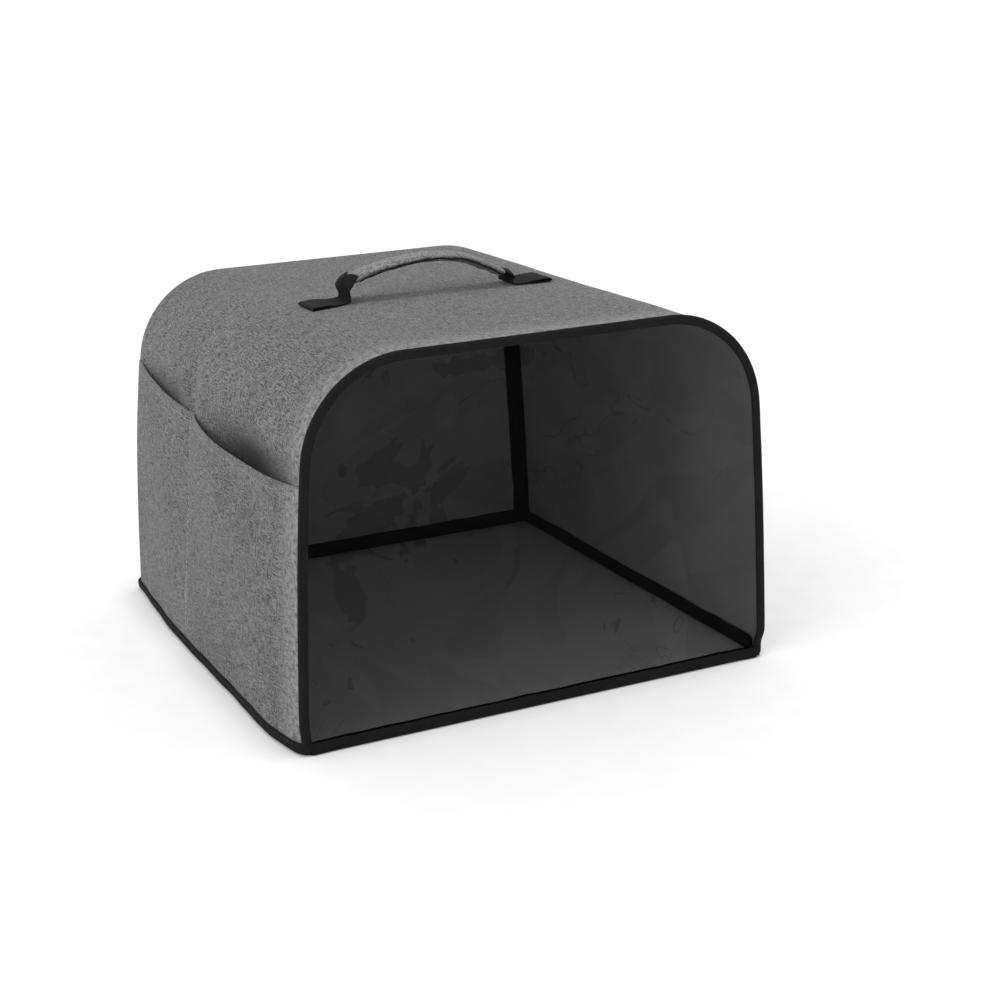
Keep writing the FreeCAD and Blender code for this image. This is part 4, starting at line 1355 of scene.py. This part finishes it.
    def sew_tab(self, side: Side) -> None:
        """The stitched box that holds the tab to the roof."""
        def route(along: float, start: Vector, end: Vector) -> tuple[Vector, Vector]:
            """A place on one side of the box, from start towards end."""
            point = start + (end - start).normalized() * along
            past = max(abs(point.x) - self.tab_root, 0.0) * (side is Side.LEFT)
            point.y -= self.left_skew * past
            point.x -= self.left_reach * past
            at = ARCH.length / 2 - abs(point.x)
            point.z = ARCH.place(at, 0).z + 0.00275 + ARCH.give(at, point.y)
            return point, Vector((0, 0, 1))

        corners = [Vector((side.value * x, y, 0)) for x, y in ((0.0905, 0.0046), (0.0905, -0.0186),
                                                               (0.0800, -0.0186), (0.0800, 0.0046), (0.0905, 0.0046))]
        rows = [(partial(route, start=a, end=b), (b - a).length) for a, b in zip(corners, corners[1:])]
        sew(f"tab_thread_{side.word}", rows, 0.0040, (0.0031, 0.0006, 0.0004), nodes=[f"tab_stitching_{side.word}"])

    def backing(self, side: Side) -> None:
        """The patch inside the roof that the tab is sewn to."""
        size = (0.044, 0.038)
        bm = cut_flat(*size, 16, 14)
        for vert in bm.verts:
            vert.co.xy *= 0.965 if len(vert.link_edges) == 2 else 1.0

        def laid(flat: Vector) -> Vector:
            """A point's place under the roof."""
            along, depth = ARCH.length / 2 + side.value * 0.0803 + flat.x, flat.y + self.depth
            out = -0.0042 + ARCH.give(along, depth) + 0.0002 * ripple(flat.x, flat.y, 0.01, 91)
            return ARCH.place(along, depth, out)

        patch = bare_piece(f"roof_patch_{side.word}", bend(bm, laid, turn_over=True))
        dress(patch, INNER_TAPE, f"backing_patch_{side.word}", thickness=0.0006, rounds=1)

    def build(self) -> None:
        """Makes the grip, both straps and their patches."""
        self.sleeve()
        self.grip_seam()
        self.core("grip_foam_core", "grip_core", FOAM, 0.0080, 16, 36, 0.24, 0.98)
        self.core("grip_inner_webbing", "handle_webbing", WEBBING, 0.0035, 8, 36, 0.18, 0.97)
        for side in Side:
            self.strap(side)
            self.sew_tab(side)
            self.backing(side)


@dataclass
class Studio:
    """Pale floor, soft lights and the camera.

    Args:
        target: what the camera looks at.
        azimuth, elevation, roll: camera's angle round the object, above the horizon and round its own line.
        distance: camera's distance from the target.
        lens: focal length in millimetres.
        shift: the frame's shift across and up.
        floor_drop: how far the floor lies under the frame's zero, clear of the hems.
    """

    target: tuple = (0.0, 0.0, 0.110)
    azimuth: float = -24.09
    elevation: float = 16.53
    roll: float = -1.90
    distance: float = 1.303
    lens: float = 63.9
    shift: tuple = (0.071, -0.022)
    floor_drop: float = 0.0006

    def floor(self) -> None:
        """A plain pale floor."""
        bm = bmesh.new()
        drop = Matrix.Translation((0, 0, -self.floor_drop))
        bmesh.ops.create_grid(bm, x_segments=4, y_segments=4, size=40.0, matrix=drop)
        piece = bare_piece("studio_floor", bm)
        material, g, shader, vector = start_material("pale_floor", Pattern.BODY)
        tone = g.window(g.noise(vector, 40), 0.3, 0.7)
        g.feed(shader, {"Base Color": g.tint(tone, grey(0.93), grey(0.95)), "Roughness": 0.9,
                        "Specular IOR Level": 0.1})
        piece.data.materials.append(material)

    @staticmethod
    def light(name: str, source: tuple, softness: float, strength: float) -> None:
        """A distant soft light.

        Args:
            name: the light's name.
            source: direction that it comes from.
            softness: its angle in degrees.
            strength: its strength.
        """
        data = bpy.data.lights.new(name, "SUN")
        data.angle, data.energy = radians(softness), strength
        lamp = bpy.data.objects.new(name, data)
        lamp.rotation_mode = "QUATERNION"
        lamp.rotation_quaternion = (-Vector(source)).to_track_quat("-Z", "Y")
        bpy.context.scene.collection.objects.link(lamp)

    def camera(self) -> None:
        """The camera, without depth of field."""
        data = bpy.data.cameras.new("camera")
        data.lens, data.sensor_width = self.lens, 36.0
        data.shift_x, data.shift_y = self.shift
        data.dof.use_dof = False
        turn, up, roll = (radians(a) for a in (self.azimuth, self.elevation, self.roll))
        back = Vector((sin(turn) * cos(up), -cos(turn) * cos(up), sin(up)))
        right = (-back).cross(Vector((0, 0, 1))).normalized()
        top = right.cross(-back).normalized()
        axes = (right * cos(roll) + top * sin(roll), top * cos(roll) - right * sin(roll), back)
        cam = bpy.data.objects.new("camera", data)
        place = Matrix.Translation(Vector(self.target) + back * self.distance)
        cam.matrix_world = place @ Matrix(axes).transposed().to_4x4()
        bpy.context.scene.collection.objects.link(cam)
        bpy.context.scene.camera = cam

    def build(self) -> None:
        """Makes the floor, the lights, the surroundings and the camera."""
        scene = bpy.context.scene
        scene.view_settings.view_transform = "Standard"
        self.floor()
        world = bpy.data.worlds.new("soft_studio")
        world.use_nodes = True
        g = Graph(world.node_tree)
        seen = g.add("LightPath").outputs["Is Camera Ray"]
        surroundings = next(n for n in world.node_tree.nodes if n.type == "BACKGROUND")
        g.feed(surroundings, {"Color": (1.0, 1.0, 1.0, 1.0), "Strength": g.window(seen, 0.0, 1.0, 0.76, 1.05)})
        scene.world = world
        self.light("side_light", (-1.0, -0.30, 0.55), 50.0, 1.05)
        self.light("top_light", (0.10, -0.05, 1.0), 13.0, 0.94)
        self.camera()


def main() -> None:
    """Builds the cover piece by piece, then the studio."""
    logging.basicConfig(level=logging.INFO, format="%(name)s: %(message)s")
    for part in (PaddedShell(), SmokedWindow(), EdgeTapes(), SidePocket(Side.LEFT), SidePocket(Side.RIGHT),
                 CarryHandle(), Studio()):
        part.build()


if __name__ == "__main__":
    main()
